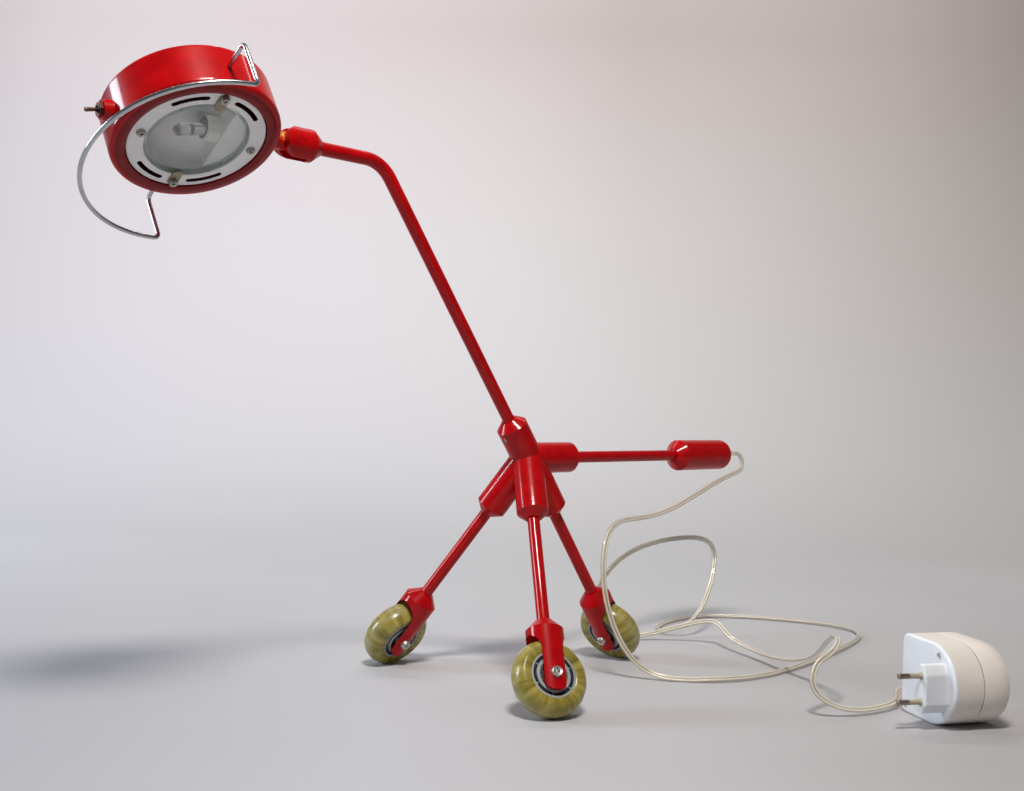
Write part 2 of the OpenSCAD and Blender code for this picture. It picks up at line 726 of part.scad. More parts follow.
// Flat sheet across the stem's side of the bowl: a wall with the bulb's window, a cover over its holder
module bulb_wall() color("#d8d8d2") on_head() difference() {
    union() {
        intersection() {
            bowl(0);
            translate([wall_out - sheet_t, -drum_r, -flange_back]) cube([sheet_t, drum_d, drum_r]);
        }
        intersection() {
            translate([0, 0, -flange_back]) cylinder(r = mirror_r + 1.5, h = sheet_t);
            translate([wall_out - sheet_t, -drum_r, -flange_back]) cube([drum_r, drum_d, sheet_t]);
        }
    }
    translate([wall_out - through - sheet_t, -bulb_d / 2, -bulb_d / 2 + bulb_lift])
        cube([2 * through + sheet_t, bulb_d, bulb_d]);
}

module lamp_holder() color("#e8e2d2") on_head()
    translate([wall_out, -bulb_d / 2 - 3, -bulb_d / 2 - 1 + bulb_lift])
    difference() {
        cube([holder_length, bulb_d + 6, bulb_d + 2]);
        for (side = [-2, 2]) translate([-through, bulb_d / 2 + 3 + side, bulb_d / 2 + 1])
            rotate([0, 90, 0])
            cylinder(d = 1, h = 8 + through);
    }

module bulb() color("#dfe6ea") on_head() translate([wall_out, 0, bulb_lift]) rotate([0, -90, 0]) {
    translate([0, 0, bulb_neck]) rotate_extrude()
        polygon(concat([[0, 0], [bulb_d / 2 - 1, 0], [bulb_d / 2, 1]],
        arc(bulb_d / 2 - 3, bulb_reach - bulb_neck - 3, 3, 0, 90), [[0, bulb_reach - bulb_neck]]));
    translate([-1.7, -3.8, 0]) cube([3.4, 7.6, bulb_neck + 0.5]);
    for (side = [-2, 2]) translate([0, side, -6]) cylinder(d = 0.8, h = 7);
}

module front_glass() color("#cfe3dc", 0.4) on_head() translate([0, 0, -plate_front])
    cylinder(d = glass_d, h = glass_t);

module glass_clips() color("#c8b98a") on_head() for (side = [0, 180]) rotate([0, 0, side])
    translate([0, clip_screw_out + clip_w / 2, -plate_front - 1]) difference() {
        union() {
            translate([-clip_w / 2, -clip_length + clip_w / 2, 0])
                cube([clip_w, clip_length - clip_w, 1]);
            translate([0, -clip_w / 2, 0]) cylinder(d = clip_w, h = 1);
            translate([0, -clip_length + clip_w / 2, 0]) cylinder(d = clip_w, h = 1);
        }
        translate([0, -clip_w / 2, -through]) cylinder(d = face_screw_d + 2 * fit, h = 1 + 2 * through);
    }

module clip_screws() color(steel) on_head() for (side = [-1, 1])
    translate([0, side * clip_screw_out, -plate_front - 1]) rotate([180, 0, 0])
        cross_screw(face_screw_d, 2 * face_screw_d, 6);

// Switch and handle

module switch_body() color("#2b2f36") on_head() difference() {
    union() {
        translate([-switch_front, -5, -4]) cube([switch_depth, 10, 8]);
        translate([-switch_front + 1, 0, 0]) rotate([0, -90, 0])
            cylinder(d = bush_d, h = bush_end - switch_front + 1);
    }
    translate([-boss_end + 5, 0, 0]) rotate([0, -90, 0]) cylinder(d = bush_d - 1.6, h = bush_end);
}

module switch_nut() color(steel) on_head() translate([-boss_end, 0, 0]) rotate([0, -90, 0])
    difference() {
    cylinder(d = bush_d + 3.5, h = switch_nut_t, $fn = 6);
    translate([0, 0, -through]) cylinder(d = bush_d + 2 * fit, h = switch_nut_t + 2 * through);
}

module switch_lever() color(steel) on_head() translate([-boss_end, 0, 0])
    rotate([0, -lever_throw / 2 - 90, 0])
    rotate_extrude() {
        ball_r = bush_d / 2 - 0.95;
        polygon(concat([[0, -3.5], [0.9, -3.5]], arc(0, 0, ball_r, -64, 58),
            arc(0, lever_length - lever_d / 2, lever_d / 2, 0, 90), [[0, lever_length]]));
    }

module handle_bail() color("#d4d4d2") on_head() {
    reach = bail_half - bail_bend;
    bow_start = asin(bail_bend / bail_half);
    for (side = [0, 1]) mirror([0, side, 0]) {
        translate([0, -drum_r + drum_wall + 1, 0]) rotate([90, 0, 0])
            cylinder(d = bail_wire, h = reach - drum_r + drum_wall + 1);
        translate([0, -reach, -bail_bend]) rotate([0, -90, 0]) rotate([0, 0, -90])
            rotate_extrude(angle = 90) translate([bail_bend, 0]) circle(d = bail_wire);
        translate([0, -bail_half, -bail_drop + bail_bend])
            cylinder(d = bail_wire, h = bail_drop - 2 * bail_bend);
        translate([-bail_bend, -bail_half, -bail_drop + bail_bend]) rotate([90, 0, 0])
            rotate([0, 0, -90])
            rotate_extrude(angle = 90) translate([bail_bend, 0]) circle(d = bail_wire);
    }
    translate([0, 0, -bail_drop]) rotate([0, 0, 90 + bow_start])
        rotate_extrude(angle = 180 - 2 * bow_start)
        translate([bail_half, 0]) circle(d = bail_wire);
}

// Cord and transformer

// Point of a smooth curve that the steering points pull along: a cubic B-spline with its ends held
function cord_knot(k) = k < 0 ? 2 * CORD[0] - CORD[1]
    : k < len(CORD) ? CORD[k] : 2 * CORD[len(CORD) - 1] - CORD[len(CORD) - 2];
function cord_point(k, t) = (pow(1 - t, 3) * cord_knot(k - 1)
    + (3 * pow(t, 3) - 6 * t * t + 4) * cord_knot(k)
    + (3 * t * (1 + t - t * t) + 1) * cord_knot(k + 1) + pow(t, 3) * cord_knot(k + 2)) / 6;
cord_path = concat([for (k = [0:len(CORD) - 2], j = [0:cord_steps - 1]) cord_point(k, j / cord_steps)],
    [CORD[len(CORD) - 1]]);

function unit(v) = v / norm(v);
function cord_heading(k) = unit(cord_path[min(k + 1, len(cord_path) - 1)] - cord_path[max(k - 1, 0)]);
// Wide direction of the flat cord at each ring: carried along without twist, and settling level
function cord_widths(k = 0, last = [0, 1, 0]) = k == len(cord_path) ? [] : let (
    heading = cord_heading(k),
    carried = last - (last * heading) * heading,
    level = cross([0, 0, 1], heading),
    wide = unit(carried + 0.6 * (level * carried < 0 ? -1 : 1) * level)
) concat([wide], cord_widths(k + 1, wide));

module cord() color("#cfc3a4") {
    widths = cord_widths();
    rings = len(cord_path);
    points = [for (k = [0:rings - 1], j = [0:cord_sides - 1]) let (
        a = 360 * (j + 0.5) / cord_sides,
        thick = cross(cord_heading(k), widths[k])
    ) cord_path[k] + cord_w / 2 * cos(a) * widths[k] + cord_t / 2 * sin(a) * thick];
    sides = [for (k = [0:rings - 2], j = [0:cord_sides - 1]) let (
        a = k * cord_sides + j, b = k * cord_sides + (j + 1) % cord_sides
    ) each [[a, a + cord_sides, b], [b, a + cord_sides, b + cord_sides]]];
    ends = [[for (j = [0:cord_sides - 1]) j],
        [for (j = [cord_sides - 1:-1:0]) (rings - 1) * cord_sides + j]];
    polyhedron(points, concat(sides, ends));
}

// Outline of the case: flat on one side and round on the other, drawn in by an inset
module case_outline(inset) {
    corner = case_corner - inset;
    translate([case_straight, case_r]) circle(r = case_r - inset);
    translate([case_corner, inset]) square([case_straight - case_corner, case_height - 2 * inset]);
    translate([inset, case_corner]) square([case_corner, case_height - 2 * case_corner]);
    for (z = [case_corner, case_height - case_corner]) translate([case_corner, z]) circle(r = corner);
}

module case_slab(inset, from, to) translate([0, to, 0]) rotate([90, 0, 0]) linear_extrude(to - from)
    case_outline(inset);

module on_face(place) translate([place[0], 0, place[1]]) rotate([-90, 0, 0]) children();

module plug_outline() {
    flat = 0.62 * plug_h / 2;
    tip = 0.36 * plug_w / 2;
    polygon([for (v = [[1, 1], [-1, 1], [-1, -1], [1, -1]])
        each v[0] * v[1] > 0
            ? [[v[0] * plug_w / 2, v[1] * flat], [v[0] * tip, v[1] * plug_h / 2]]
            : [[v[0] * tip, v[1] * plug_h / 2], [v[0] * plug_w / 2, v[1] * flat]]]);
}

module case_front() color(white) on_case() difference() {
    union() {
        hull() {
            case_slab(case_bevel, 0, 0.1);
            case_slab(0, case_bevel, case_split);
        }
        translate([plug_out, 0.5, case_r]) rotate([90, 0, 0])
            linear_extrude(plug_depth + 0.5) plug_outline();
    }
    case_slab(case_wall, case_inside, case_split + through);
    for (side = [-1, 1])
        translate([plug_out, case_inside + through, case_r + side * pin_spacing / 2]) rotate([90, 0, 0])
        cylinder(d = pin_core + 2 * fit, h = case_inside + plug_depth + 2 * through);
    for (place = case_screws) translate([0, -through, 0]) on_face(place)
        cylinder(d = case_screw_pocket, h = through + 1);
}

module case_back() color("#e9dccf") on_case() difference() {
    hull() {
        case_slab(0, case_split, case_depth - 4);
        case_slab(case_draw, case_depth - 0.1, case_depth);
    }
    case_slab(case_wall, case_split - through, case_depth - case_wall - case_draw);
    translate([-through, case_exit, cord_height]) rotate([0, 90, 0])
        cylinder(d = relief_d + 2 * fit, h = relief_in + through);
}

module case_screws() color(steel) on_case() for (place = case_screws) translate([0, 0.6, 0])
    on_face(place)
    cylinder(d = case_screw_pocket - 2 * fit, h = 0.4);

module cord_relief() color("#cfc3a4") on_case() translate([-relief_out, case_exit, cord_height])
    rotate([0, 90, 0]) difference() {
    union() {
        cylinder(d1 = relief_d - 2, d2 = relief_d + 1, h = relief_out);
        cylinder(d = relief_d - 2, h = relief_out + relief_in);
        translate([0, 0, relief_out]) cylinder(d = relief_d, h = relief_in);
    }
    translate([0, 0, -through]) cylinder(d = cord_w + 0.6, h = relief_out + cord_depth + through);
}

module at_pins() on_case() for (side = [-1, 1])
    translate([plug_out, -plug_depth, case_r + side * pin_spacing / 2])
    rotate([90, 0, 0]) children();

module plug_pins() color("#c9b27a") at_pins() {
    translate([0, 0, -plug_depth - case_inside])
        cylinder(d = pin_core, h = plug_depth + case_inside + pin_length - 1);
    translate([0, 0, sleeve_length]) rotate_extrude() polygon(concat([[0, 0], [pin_d / 2, 0]],
        arc(pin_d / 2 - 0.8, pin_length - sleeve_length - 0.8, 0.8, 0, 90),
        [[0, pin_length - sleeve_length]]));
}

module pin_sleeves() color("#e6dcc0") at_pins() difference() {
    union() {
        cylinder(d = pin_d, h = sleeve_length);
        cylinder(d1 = pin_d + 2, d2 = pin_d, h = 1.5);
    }
    translate([0, 0, -through]) cylinder(d = pin_core + 2 * fit, h = sleeve_length + 2 * through);
}

// Laminated core: a frame with a middle limb, standing on the floor of the case
module transformer_core() color("#6b6e72") on_case()
    translate([case_straight - core_w, core_front, case_wall])
    difference() {
        cube([core_w, core_t, core_h]);
        for (y = [core_t / 6, core_t * 7 / 12]) translate([-through, y, core_h / 6])
            cube([core_w + 2 * through, core_t / 4, core_h * 2 / 3]);
    }

module transformer_coil() color("#a5562b") on_case()
    translate([case_straight - core_w - coil_out, core_front + core_t / 6 + fit,
        case_wall + core_h / 6 + fit])
    difference() {
        cube([core_w + 2 * coil_out, core_t * 2 / 3 - 2 * fit, core_h * 2 / 3 - 2 * fit]);
        translate([coil_out - fit, core_t / 4 - 2 * fit, -through])
            cube([core_w + 2 * fit, core_t / 6 + 2 * fit, core_h]);
    }

hub();
grub_screws();
leg_rod(0);  // leg_rod_left
leg_rod(1);  // leg_rod_right
leg_rod(2);  // leg_rod_hind
swivel_screws();
neck_tube();
tail_tube();
tail_end();
inner_flex();
knuckle();
tilt_pin();
for (i = [0:2]) {
    fork(i);
    axle_sleeve(i);
    axle_screws(i);
    tyre(i);
    wheel_core(i);
    core_rings(i);
    bearings(i);
}
head_stem();
stem_nut();
drum();
face_plate();
plate_screws();
reflector();
bulb_wall();
lamp_holder();
bulb();
front_glass();
glass_clips();
clip_screws();
switch_body();
switch_nut();
switch_lever();
handle_bail();
cord();
cord_relief();
case_front();
case_back();
case_screws();
plug_pins();
pin_sleeves();
transformer_core();
transformer_coil();
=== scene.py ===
"""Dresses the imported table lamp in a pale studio: enamel, castors, lit head, clear flex and transformer."""
import json

import bmesh
import bpy
import numpy as np
from mathutils import Matrix, Vector
from mathutils.geometry import delaunay_2d_cdt

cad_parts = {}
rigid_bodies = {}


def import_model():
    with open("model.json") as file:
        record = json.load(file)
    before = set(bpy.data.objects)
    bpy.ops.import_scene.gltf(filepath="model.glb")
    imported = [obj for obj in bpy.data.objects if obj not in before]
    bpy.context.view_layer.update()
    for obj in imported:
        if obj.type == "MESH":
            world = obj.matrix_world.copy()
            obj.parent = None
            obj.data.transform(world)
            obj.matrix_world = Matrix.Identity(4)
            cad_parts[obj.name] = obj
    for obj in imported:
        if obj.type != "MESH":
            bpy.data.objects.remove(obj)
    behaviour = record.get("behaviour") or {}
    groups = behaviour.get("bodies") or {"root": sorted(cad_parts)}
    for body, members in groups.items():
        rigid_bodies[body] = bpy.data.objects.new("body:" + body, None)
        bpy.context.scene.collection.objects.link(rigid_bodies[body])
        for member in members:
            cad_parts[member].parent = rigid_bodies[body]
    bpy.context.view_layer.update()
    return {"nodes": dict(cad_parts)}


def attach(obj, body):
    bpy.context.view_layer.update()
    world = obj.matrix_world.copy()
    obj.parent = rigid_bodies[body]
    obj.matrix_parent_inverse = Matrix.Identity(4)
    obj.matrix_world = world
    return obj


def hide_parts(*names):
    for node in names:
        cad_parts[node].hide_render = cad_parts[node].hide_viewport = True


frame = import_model()
nodes = frame["nodes"]
scene = bpy.context.scene
scene.view_settings.view_transform = "Standard"


# Sizes in millimetres and angles in degrees, as in the solids

MM = 0.001

HUB = np.array([0.0, 0.0, 182.0])
LEG_TILT = 35.4
LEG_TURN = {"left": 123.0, "right": -123.0, "hind": 0.0}
SWIVEL = {"left": 24.0, "right": -12.0, "hind": -4.0}
WHEEL_R = 29.0
CROWN_R = 13.0
TREAD_HALF = 10.5

PIVOT = np.array([-234.0, 0.0, 402.0])
WORN_SPOT = PIVOT + [-11.5, -4.2, 3.0]
HEAD_DROOP = 1.8
HEAD_ROLL = 31.6
HEAD_ARM = 75.6
HANDLE_HALF = 75.6
HANDLE_DROP = 33.7
HANDLE_BEND = 4.0
HANDLE_END = 52.1
HANDLE_WIRE_R = 1.5

# In the head's own frame, the light leaves towards -Z
DISC_R = 44.2
DISC_FRONT = -12.9
DISC_BACK = -11.4
OPENING_R = 33.7
PLATE_SCREW_OUT = 37.7
CLIP_SCREW_OUT = 40.3
FACE_HOLE_R = 1.55
SLOT_R = 39.2
SLOT_HALF_WIDTH = 1.6
SLOT_HALF_SPAN = 15.2
SLOT_MIDDLES = (60, 120, 240, 300)
GLASS_R = 33.4
GLASS_BACK = -9.9
BULB_SEAT = np.array([16.2, 0, 0.4])
BULB_LEAN = 102

# In the transformer's own frame, the case's face is at Y = 0 and its depth runs to +Y
CASE_TURN = 241.9
CASE_AT = np.array([171.7, -248.0, 0.0])
CASE_HEIGHT = 60.7
CASE_STRAIGHT = 34.3
CASE_CORNER = 6.0
CASE_DEPTH = 48.7
CASE_SPLIT = 25.0
CASE_EDGE = 2.0
CASE_BACK_EDGE = 2.6
POCKETS = ((44.6, 52.1), (5.5, 5.5))
POCKET_R = 2.5
POCKET_DEPTH = 1.0
PLUG_MIDDLE = (50.45, 30.35)
PLUG_HALF_WIDTH = 13.7 / 2
PLUG_HALF_HEIGHT = 35.3 / 2
PLUG_LENGTH = 19.0


# Places: a turn and a position, in the same frame as the solids

def turn_x(degrees):
    """A turn about X."""
    c, s = np.cos(np.radians(degrees)), np.sin(np.radians(degrees))
    return np.array([[1, 0, 0], [0, c, -s], [0, s, c]])


def turn_y(degrees):
    """A turn about Y."""
    c, s = np.cos(np.radians(degrees)), np.sin(np.radians(degrees))
    return np.array([[c, 0, s], [0, 1, 0], [-s, 0, c]])


def turn_z(degrees):
    """A turn about Z."""
    c, s = np.cos(np.radians(degrees)), np.sin(np.radians(degrees))
    return np.array([[c, -s, 0], [s, c, 0], [0, 0, 1]])


FRAME = (np.eye(3), np.zeros(3))
STEM = turn_y(-HEAD_DROOP)
HEAD = (STEM @ turn_x(-HEAD_ROLL), PIVOT + STEM @ [-HEAD_ARM, 0, 0])
CASE = (turn_z(CASE_TURN), CASE_AT)


def axle_place(leg):
    """Turn and centre of a wheel: Z along the axle, with the wheel's lowest point on the floor."""
    lean = np.sin(np.radians(LEG_TILT)) * np.cos(np.radians(SWIVEL[leg]))
    drop = (WHEEL_R - CROWN_R) * np.sqrt(1 - lean ** 2) + CROWN_R
    out = (HUB[2] - drop) / np.cos(np.radians(LEG_TILT))
    down_leg = turn_z(LEG_TURN[leg]) @ turn_y(180 - LEG_TILT)
    return down_leg @ turn_z(SWIVEL[leg]) @ turn_y(90), HUB + out * down_leg[:, 2]


def put(points, place):
    """Points of a piece's own frame, carried to its place."""
    return points @ place[0].T + place[1]


# Surfaces: every piece is a list of patches, and a patch is a grid of points with one finish

def patch(grid, close_u=False, close_v=False, finish=0, uv=(1.0, 1.0)):
    """A grid of points, with what closes on itself, the finish's number and the UV's span."""
    return {"grid": np.asarray(grid, float), "close": (close_u, close_v), "finish": finish, "uv": uv}


def grid_faces(nu, nv, close_u, close_v, uv):
    """Corners of each cell of a grid, with indices that wrap where the grid closes, and the corners' UV."""
    span_u = nu if close_u else nu - 1
    span_v = nv if close_v else nv - 1
    i, j = np.meshgrid(np.arange(span_u), np.arange(span_v), indexing="ij")
    ci = np.stack([i, i + 1, i + 1, i], -1).reshape(-1, 4)
    cj = np.stack([j, j, j + 1, j + 1], -1).reshape(-1, 4)
    return (ci % nu) * nv + cj % nv, np.stack([ci * uv[0] / span_u, cj * uv[1] / span_v], -1)


def piece(name, patches, finishes, body, replaced, place, sharp, loose=()):
    """Joins patches into one object, closes its seams and poles and lets it ride a body.

    Its faces are turned outwards. loose adds triangles as (points, corner indices, finish)."""
    points, faces, uvs, finish = [], [], [], []
    start = 0
    for p in patches:
        nu, nv = p["grid"].shape[:2]
        quads, uv = grid_faces(nu, nv, *p["close"], p["uv"])
        points.append(p["grid"].reshape(-1, 3))
        faces += (quads + start).tolist()
        uvs.append(uv.reshape(-1, 2))
        finish.append(np.full(len(quads), p["finish"]))
        start += nu * nv
    for corners, triangles, slot_index in loose:
        points.append(corners)
        faces += (np.asarray(triangles) + start).tolist()
        uvs.append(np.zeros((3 * len(triangles), 2)))
        finish.append(np.full(len(triangles), slot_index))
        start += len(corners)
    points = put(np.concatenate(points), place)
    mesh = bpy.data.meshes.new(name)
    mesh.from_pydata((points * MM).tolist(), [], faces)
    mesh.uv_layers.new(name="UVMap").data.foreach_set("uv", np.concatenate(uvs).ravel())
    mesh.polygons.foreach_set("material_index", np.concatenate(finish).astype(np.int32))
    for material in finishes:
        mesh.materials.append(material)
    bm = bmesh.new()
    bm.from_mesh(mesh)
    bmesh.ops.remove_doubles(bm, verts=bm.verts, dist=2e-7)
    bmesh.ops.recalc_face_normals(bm, faces=bm.faces)
    bm.to_mesh(mesh)
    bm.free()
    mesh.shade_smooth()
    mesh.set_sharp_from_angle(angle=np.radians(sharp))
    obj = bpy.data.objects.new(name, mesh)
    scene.collection.objects.link(obj)
    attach(obj, body)
    if replaced:
        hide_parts(*replaced)
    return obj


def around(count):
    """Angles of points spread evenly round a circle."""
    return 2 * np.pi * np.arange(count) / count


def revolve(profile, count, finish=0):
    """A profile of radius and height turned once round Z."""
    r, z = np.asarray(profile, float).T
    a = around(count)
    grid = np.stack([np.outer(np.cos(a), r), np.outer(np.sin(a), r), np.tile(z, (count, 1))], -1)
    return patch(grid, close_u=True, finish=finish)


def bend(cx, cy, r, start, end, steps):
    """Points of an arc about a centre, from one angle to another in degrees."""
    a = np.radians(np.linspace(start, end, steps + 1))
    return np.stack([cx + r * np.cos(a), cy + r * np.sin(a)], 1)


def ring(x, y, radius, count):
    """Points of a whole circle."""
    return bend(x, y, radius, 0, 360, count)[:-1]


def level(flat, z):
    """Flat points lifted to a height."""
    return np.column_stack([flat, np.full(len(flat), z)])


def headings(path):
    """Unit direction of a path at each point, from the chord of its two neighbours."""
    d = np.gradient(path, axis=0)
    return d / np.linalg.norm(d, axis=1, keepdims=True)


def carried(path, first):
    """A side direction at each point of a path, carried along without twist from a first one."""
    side = [np.asarray(first, float)]
    for heading in headings(path):
        s = side[-1] - heading * (side[-1] @ heading)
        side.append(s / np.linalg.norm(s))
    return np.array(side[1:])


def sweep(path, section, side, finish=0, uv=(1.0, 1.0)):
    """A closed section carried along a path, with its ends closed to a point.

    The section's first axis lies on the side direction, its second square to that and to the path."""
    other = np.cross(headings(path), side)
    grid = path[:, None] + section[None, :, :1] * side[:, None] + section[None, :, 1:] * other[:, None]
    first, last = (np.repeat(end[None, None], len(section), 1) for end in (path[0], path[-1]))
    return patch(np.concatenate([first, grid, last]), close_v=True, finish=finish, uv=uv)


def rod(path, radius, side, sides, finish=0):
    """A round wire along a path."""
    a = around(sides)
    return sweep(path, radius * np.stack([np.cos(a), np.sin(a)], 1), carried(path, side), finish)


# Finishes

def srgb(r, g, b):
    """A colour as a screen shows it, 0 to 255, made linear."""
    c = np.array([r, g, b]) / 255
    return tuple(np.where(c < 0.04045, c / 12.92, ((c + 0.055) / 1.055) ** 2.4)) + (1.0,)


class Finish:
    """One material: a principled shader, and small builders for the patterns that feed it."""

    def __init__(self, name, **sockets):
        self.material = bpy.data.materials.new(name)
        self.material.use_nodes = True
        self.tree = self.material.node_tree
        self.shader = self.tree.nodes["Principled BSDF"]
        for key, value in sockets.items():
            self.shader.inputs[key.replace("_", " ")].default_value = value

    def node(self, kind, inputs=(), **settings):
        """A node with its settings, and its inputs linked or set."""
        n = self.tree.nodes.new(kind)
        for key, value in settings.items():
            setattr(n, key, value)
        for key, value in dict(inputs).items():
            if isinstance(value, bpy.types.NodeSocket):
                self.tree.links.new(value, n.inputs[key])
            else:
                n.inputs[key].default_value = value
        return n

    def link(self, output, socket):
        """Feeds one of the shader's sockets."""
        self.tree.links.new(output, self.shader.inputs[socket])

    def where(self, source="Object", scale=(1, 1, 1), place=(0, 0, 0), turn=(0, 0, 0)):
        """Coordinates of the surface, scaled, turned and moved."""
        coordinate = self.node("ShaderNodeTexCoord")
        return self.node("ShaderNodeMapping", {"Vector": coordinate.outputs[source], "Location": place,
                                               "Rotation": turn, "Scale": scale}).outputs["Vector"]

    def parts(self, vector):
        """The X, Y and Z of a vector."""
        return self.node("ShaderNodeSeparateXYZ", {"Vector": vector}).outputs

    def wrapped(self, count, across):
        """UV wrapped round a circle, so that a pattern of about count cells closes on itself."""
        uv = self.parts(self.node("ShaderNodeTexCoord").outputs["UV"])
        angle = self.math("MULTIPLY", uv["X"], 2 * np.pi)
        x = self.math("MULTIPLY", self.math("COSINE", angle), count / (2 * np.pi))
        y = self.math("MULTIPLY", self.math("SINE", angle), count / (2 * np.pi))
        z = self.math("MULTIPLY", uv["Y"], across)
        return self.node("ShaderNodeCombineXYZ", {"X": x, "Y": y, "Z": z}).outputs["Vector"], uv["Y"]

    def noise(self, scale, detail, at=None, roughness=0.5):
        """Soft noise on Object coordinates, or on others that are given."""
        at = at if at is not None else self.where()
        return self.node("ShaderNodeTexNoise", {"Vector": at, "Scale": scale, "Detail": detail,
                                                "Roughness": roughness}).outputs["Fac"]

    def ramp(self, factor, *stops):
        """A colour or a number that follows a factor from stop to stop."""
        r = self.node("ShaderNodeValToRGB", {"Fac": factor})
        while len(r.color_ramp.elements) < len(stops):
            r.color_ramp.elements.new(0.5)
        for e, (at, colour) in zip(r.color_ramp.elements, stops):
            e.position = at
            e.color = colour if isinstance(colour, tuple) else (colour, colour, colour, 1.0)
        return r.outputs["Color"]

    def math(self, operation, a, b=0.0, c=0.0):
        """One sum on up to three numbers."""
        return self.node("ShaderNodeMath", {0: a, 1: b, 2: c}, operation=operation).outputs[0]

    def mix(self, factor, a, b):
        """Colour a where the factor is 0, and colour b where it is 1."""
        return self.node("ShaderNodeMix", {0: factor, 6: a, 7: b}, data_type="RGBA").outputs[2]

    def bump(self, height, strength, distance):
        """Relief from a height, with its depth in metres."""
        n = self.node("ShaderNodeBump", {"Height": height, "Strength": strength, "Distance": distance})
        self.link(n.outputs["Normal"], "Normal")


def enamel(name, low=(164, 2, 7), high=(186, 4, 10), worn=None):
    """Gloss red enamel: a faint mottle, slight orange peel, and brass where one spot is rubbed bare."""
    f = Finish(name, Roughness=0.36, Specular_IOR_Level=0.06, Coat_Weight=0.42, Coat_Roughness=0.09,
               Coat_IOR=1.5)
    colour = f.ramp(f.noise(90.0, 4.0), (0.3, srgb(*low)), (0.7, srgb(*high)))
    if worn is not None:
        near = f.node("ShaderNodeVectorMath", {0: f.node("ShaderNodeTexCoord").outputs["Object"], 1: worn},
                      operation="DISTANCE").outputs["Value"]
        ragged = f.math("MULTIPLY_ADD", f.noise(420.0, 4.0), 0.006, near)
        colour = f.mix(f.ramp(ragged, (0.0038, 1.0), (0.0044, 0.0)), colour, srgb(222, 178, 106))
    f.link(colour, "Base Color")
    f.bump(f.noise(1400.0, 2.0), 0.05, 0.0004)
    return f.material


def metal(name, colour, roughness, grain=900.0, spread=0.08):
    """Bare metal: fine grain in its roughness, and a faint stain in its colour."""
    f = Finish(name, Metallic=1.0)
    base = np.array(colour)
    stained = tuple(base * [0.8, 0.8, 0.8, 1])
    f.link(f.ramp(f.noise(60.0, 4.0), (0.3, stained), (0.7, tuple(base))), "Base Color")
    fine = f.noise(grain, 3.0)
    f.link(f.ramp(fine, (0.3, max(0.02, roughness - spread)), (0.7, roughness + spread)), "Roughness")
    f.bump(fine, 0.06, 0.0002)
    return f.material


def plastic(name, light, dark, roughness, bump=0.05, scale=500.0):
    """Moulded plastic: two close tones in soft patches, and a fine moulded grain."""
    f = Finish(name, Roughness=roughness, IOR=1.48)
    f.link(f.ramp(f.noise(35.0, 5.0), (0.35, dark), (0.65, light)), "Base Color")
    f.bump(f.noise(scale, 3.0), bump, 0.0003)
    return f.material


def steel_with_painted_cross_shade(name, axis, other, out):
    """Screw steel with a cross of painted shade where its cross recess is, in the head's own plane.

    It is dark near either line through the middle of a screw, which lies out along one axis."""
    f = Finish(name, Metallic=1.0, Roughness=0.42)
    to_head = HEAD[0].T
    at = f.parts(f.where(scale=(1 / MM,) * 3, place=tuple(-to_head @ HEAD[1]),
                         turn=tuple(Matrix(to_head.tolist()).to_euler())))
    along = f.math("ABSOLUTE", f.math("SUBTRACT", f.math("ABSOLUTE", at[axis]), out))
    beside = f.math("ABSOLUTE", at[other])
    line = f.ramp(f.math("MINIMUM", along, beside), (0.3, 1.0), (0.45, 0.0))
    reach = f.ramp(f.math("MULTIPLY", f.math("MAXIMUM", along, beside), 0.25), (0.38, 1.0), (0.44, 0.0))
    tone = f.ramp(f.noise(700.0, 3.0), (0.3, srgb(176, 173, 164)), (0.7, srgb(204, 201, 192)))
    f.link(f.mix(f.math("MULTIPLY", line, reach), tone, srgb(44, 42, 40)), "Base Color")
    return f.material


RED = enamel("red_enamel")
RED_WORN = enamel("red_enamel_worn", worn=tuple(WORN_SPOT * MM))
# The lip's enamel is a darker red: painted shade of the recess round the face disc.
RED_LIP_PAINTED_SHADE = enamel("red_enamel_lip_painted_shade", (118, 2, 6), (138, 3, 8))
STEEL = metal("screw_steel", srgb(216, 213, 206), 0.46)
DULL_STEEL = metal("dull_steel", srgb(146, 145, 138), 0.4)
PLATE_SCREW = steel_with_painted_cross_shade("plate_screw_steel", "X", "Y", PLATE_SCREW_OUT)
CLIP_SCREW = steel_with_painted_cross_shade("clip_screw_steel", "Y", "X", CLIP_SCREW_OUT)
NICKEL = metal("dull_nickel", srgb(154, 142, 120), 0.34)
CHROME = metal("handle_chrome", srgb(204, 204, 206), 0.22, 700.0, 0.05)
SHEET = metal("satin_aluminium", srgb(233, 233, 231), 0.48, 1200.0)
BRONZE = metal("dark_bronze", srgb(128, 108, 98), 0.36)
DARK_NUT = metal("dark_nut", srgb(98, 52, 46), 0.45)
BEARING = metal("bearing_steel", srgb(176, 180, 186), 0.3)
PIN_METAL = metal("pin_metal", srgb(172, 162, 146), 0.38)
PLATE = plastic("plate_enamel", srgb(245, 243, 240), srgb(236, 234, 231), 0.42, 0.08, 900.0)
CORE = plastic("core_plastic", srgb(168, 174, 176), srgb(148, 154, 157), 0.4)
BLACK = plastic("black_plastic", srgb(26, 28, 31), srgb(16, 18, 20), 0.45)
CERAMIC = plastic("holder_ceramic", srgb(246, 243, 236), srgb(238, 234, 224), 0.6)
# One white plastic in two tints of painted light: cool where the bluish window lights the case's face, warm
# on its sides and back.
CASE_PAINTED_COOL = plastic("case_white", srgb(237, 241, 247), srgb(232, 236, 242), 0.36, 0.06, 1400.0)
CASE_PAINTED_WARM = plastic("case_painted_warm_light", srgb(236, 229, 222), srgb(230, 222, 214), 0.38, 0.06, 1400.0)
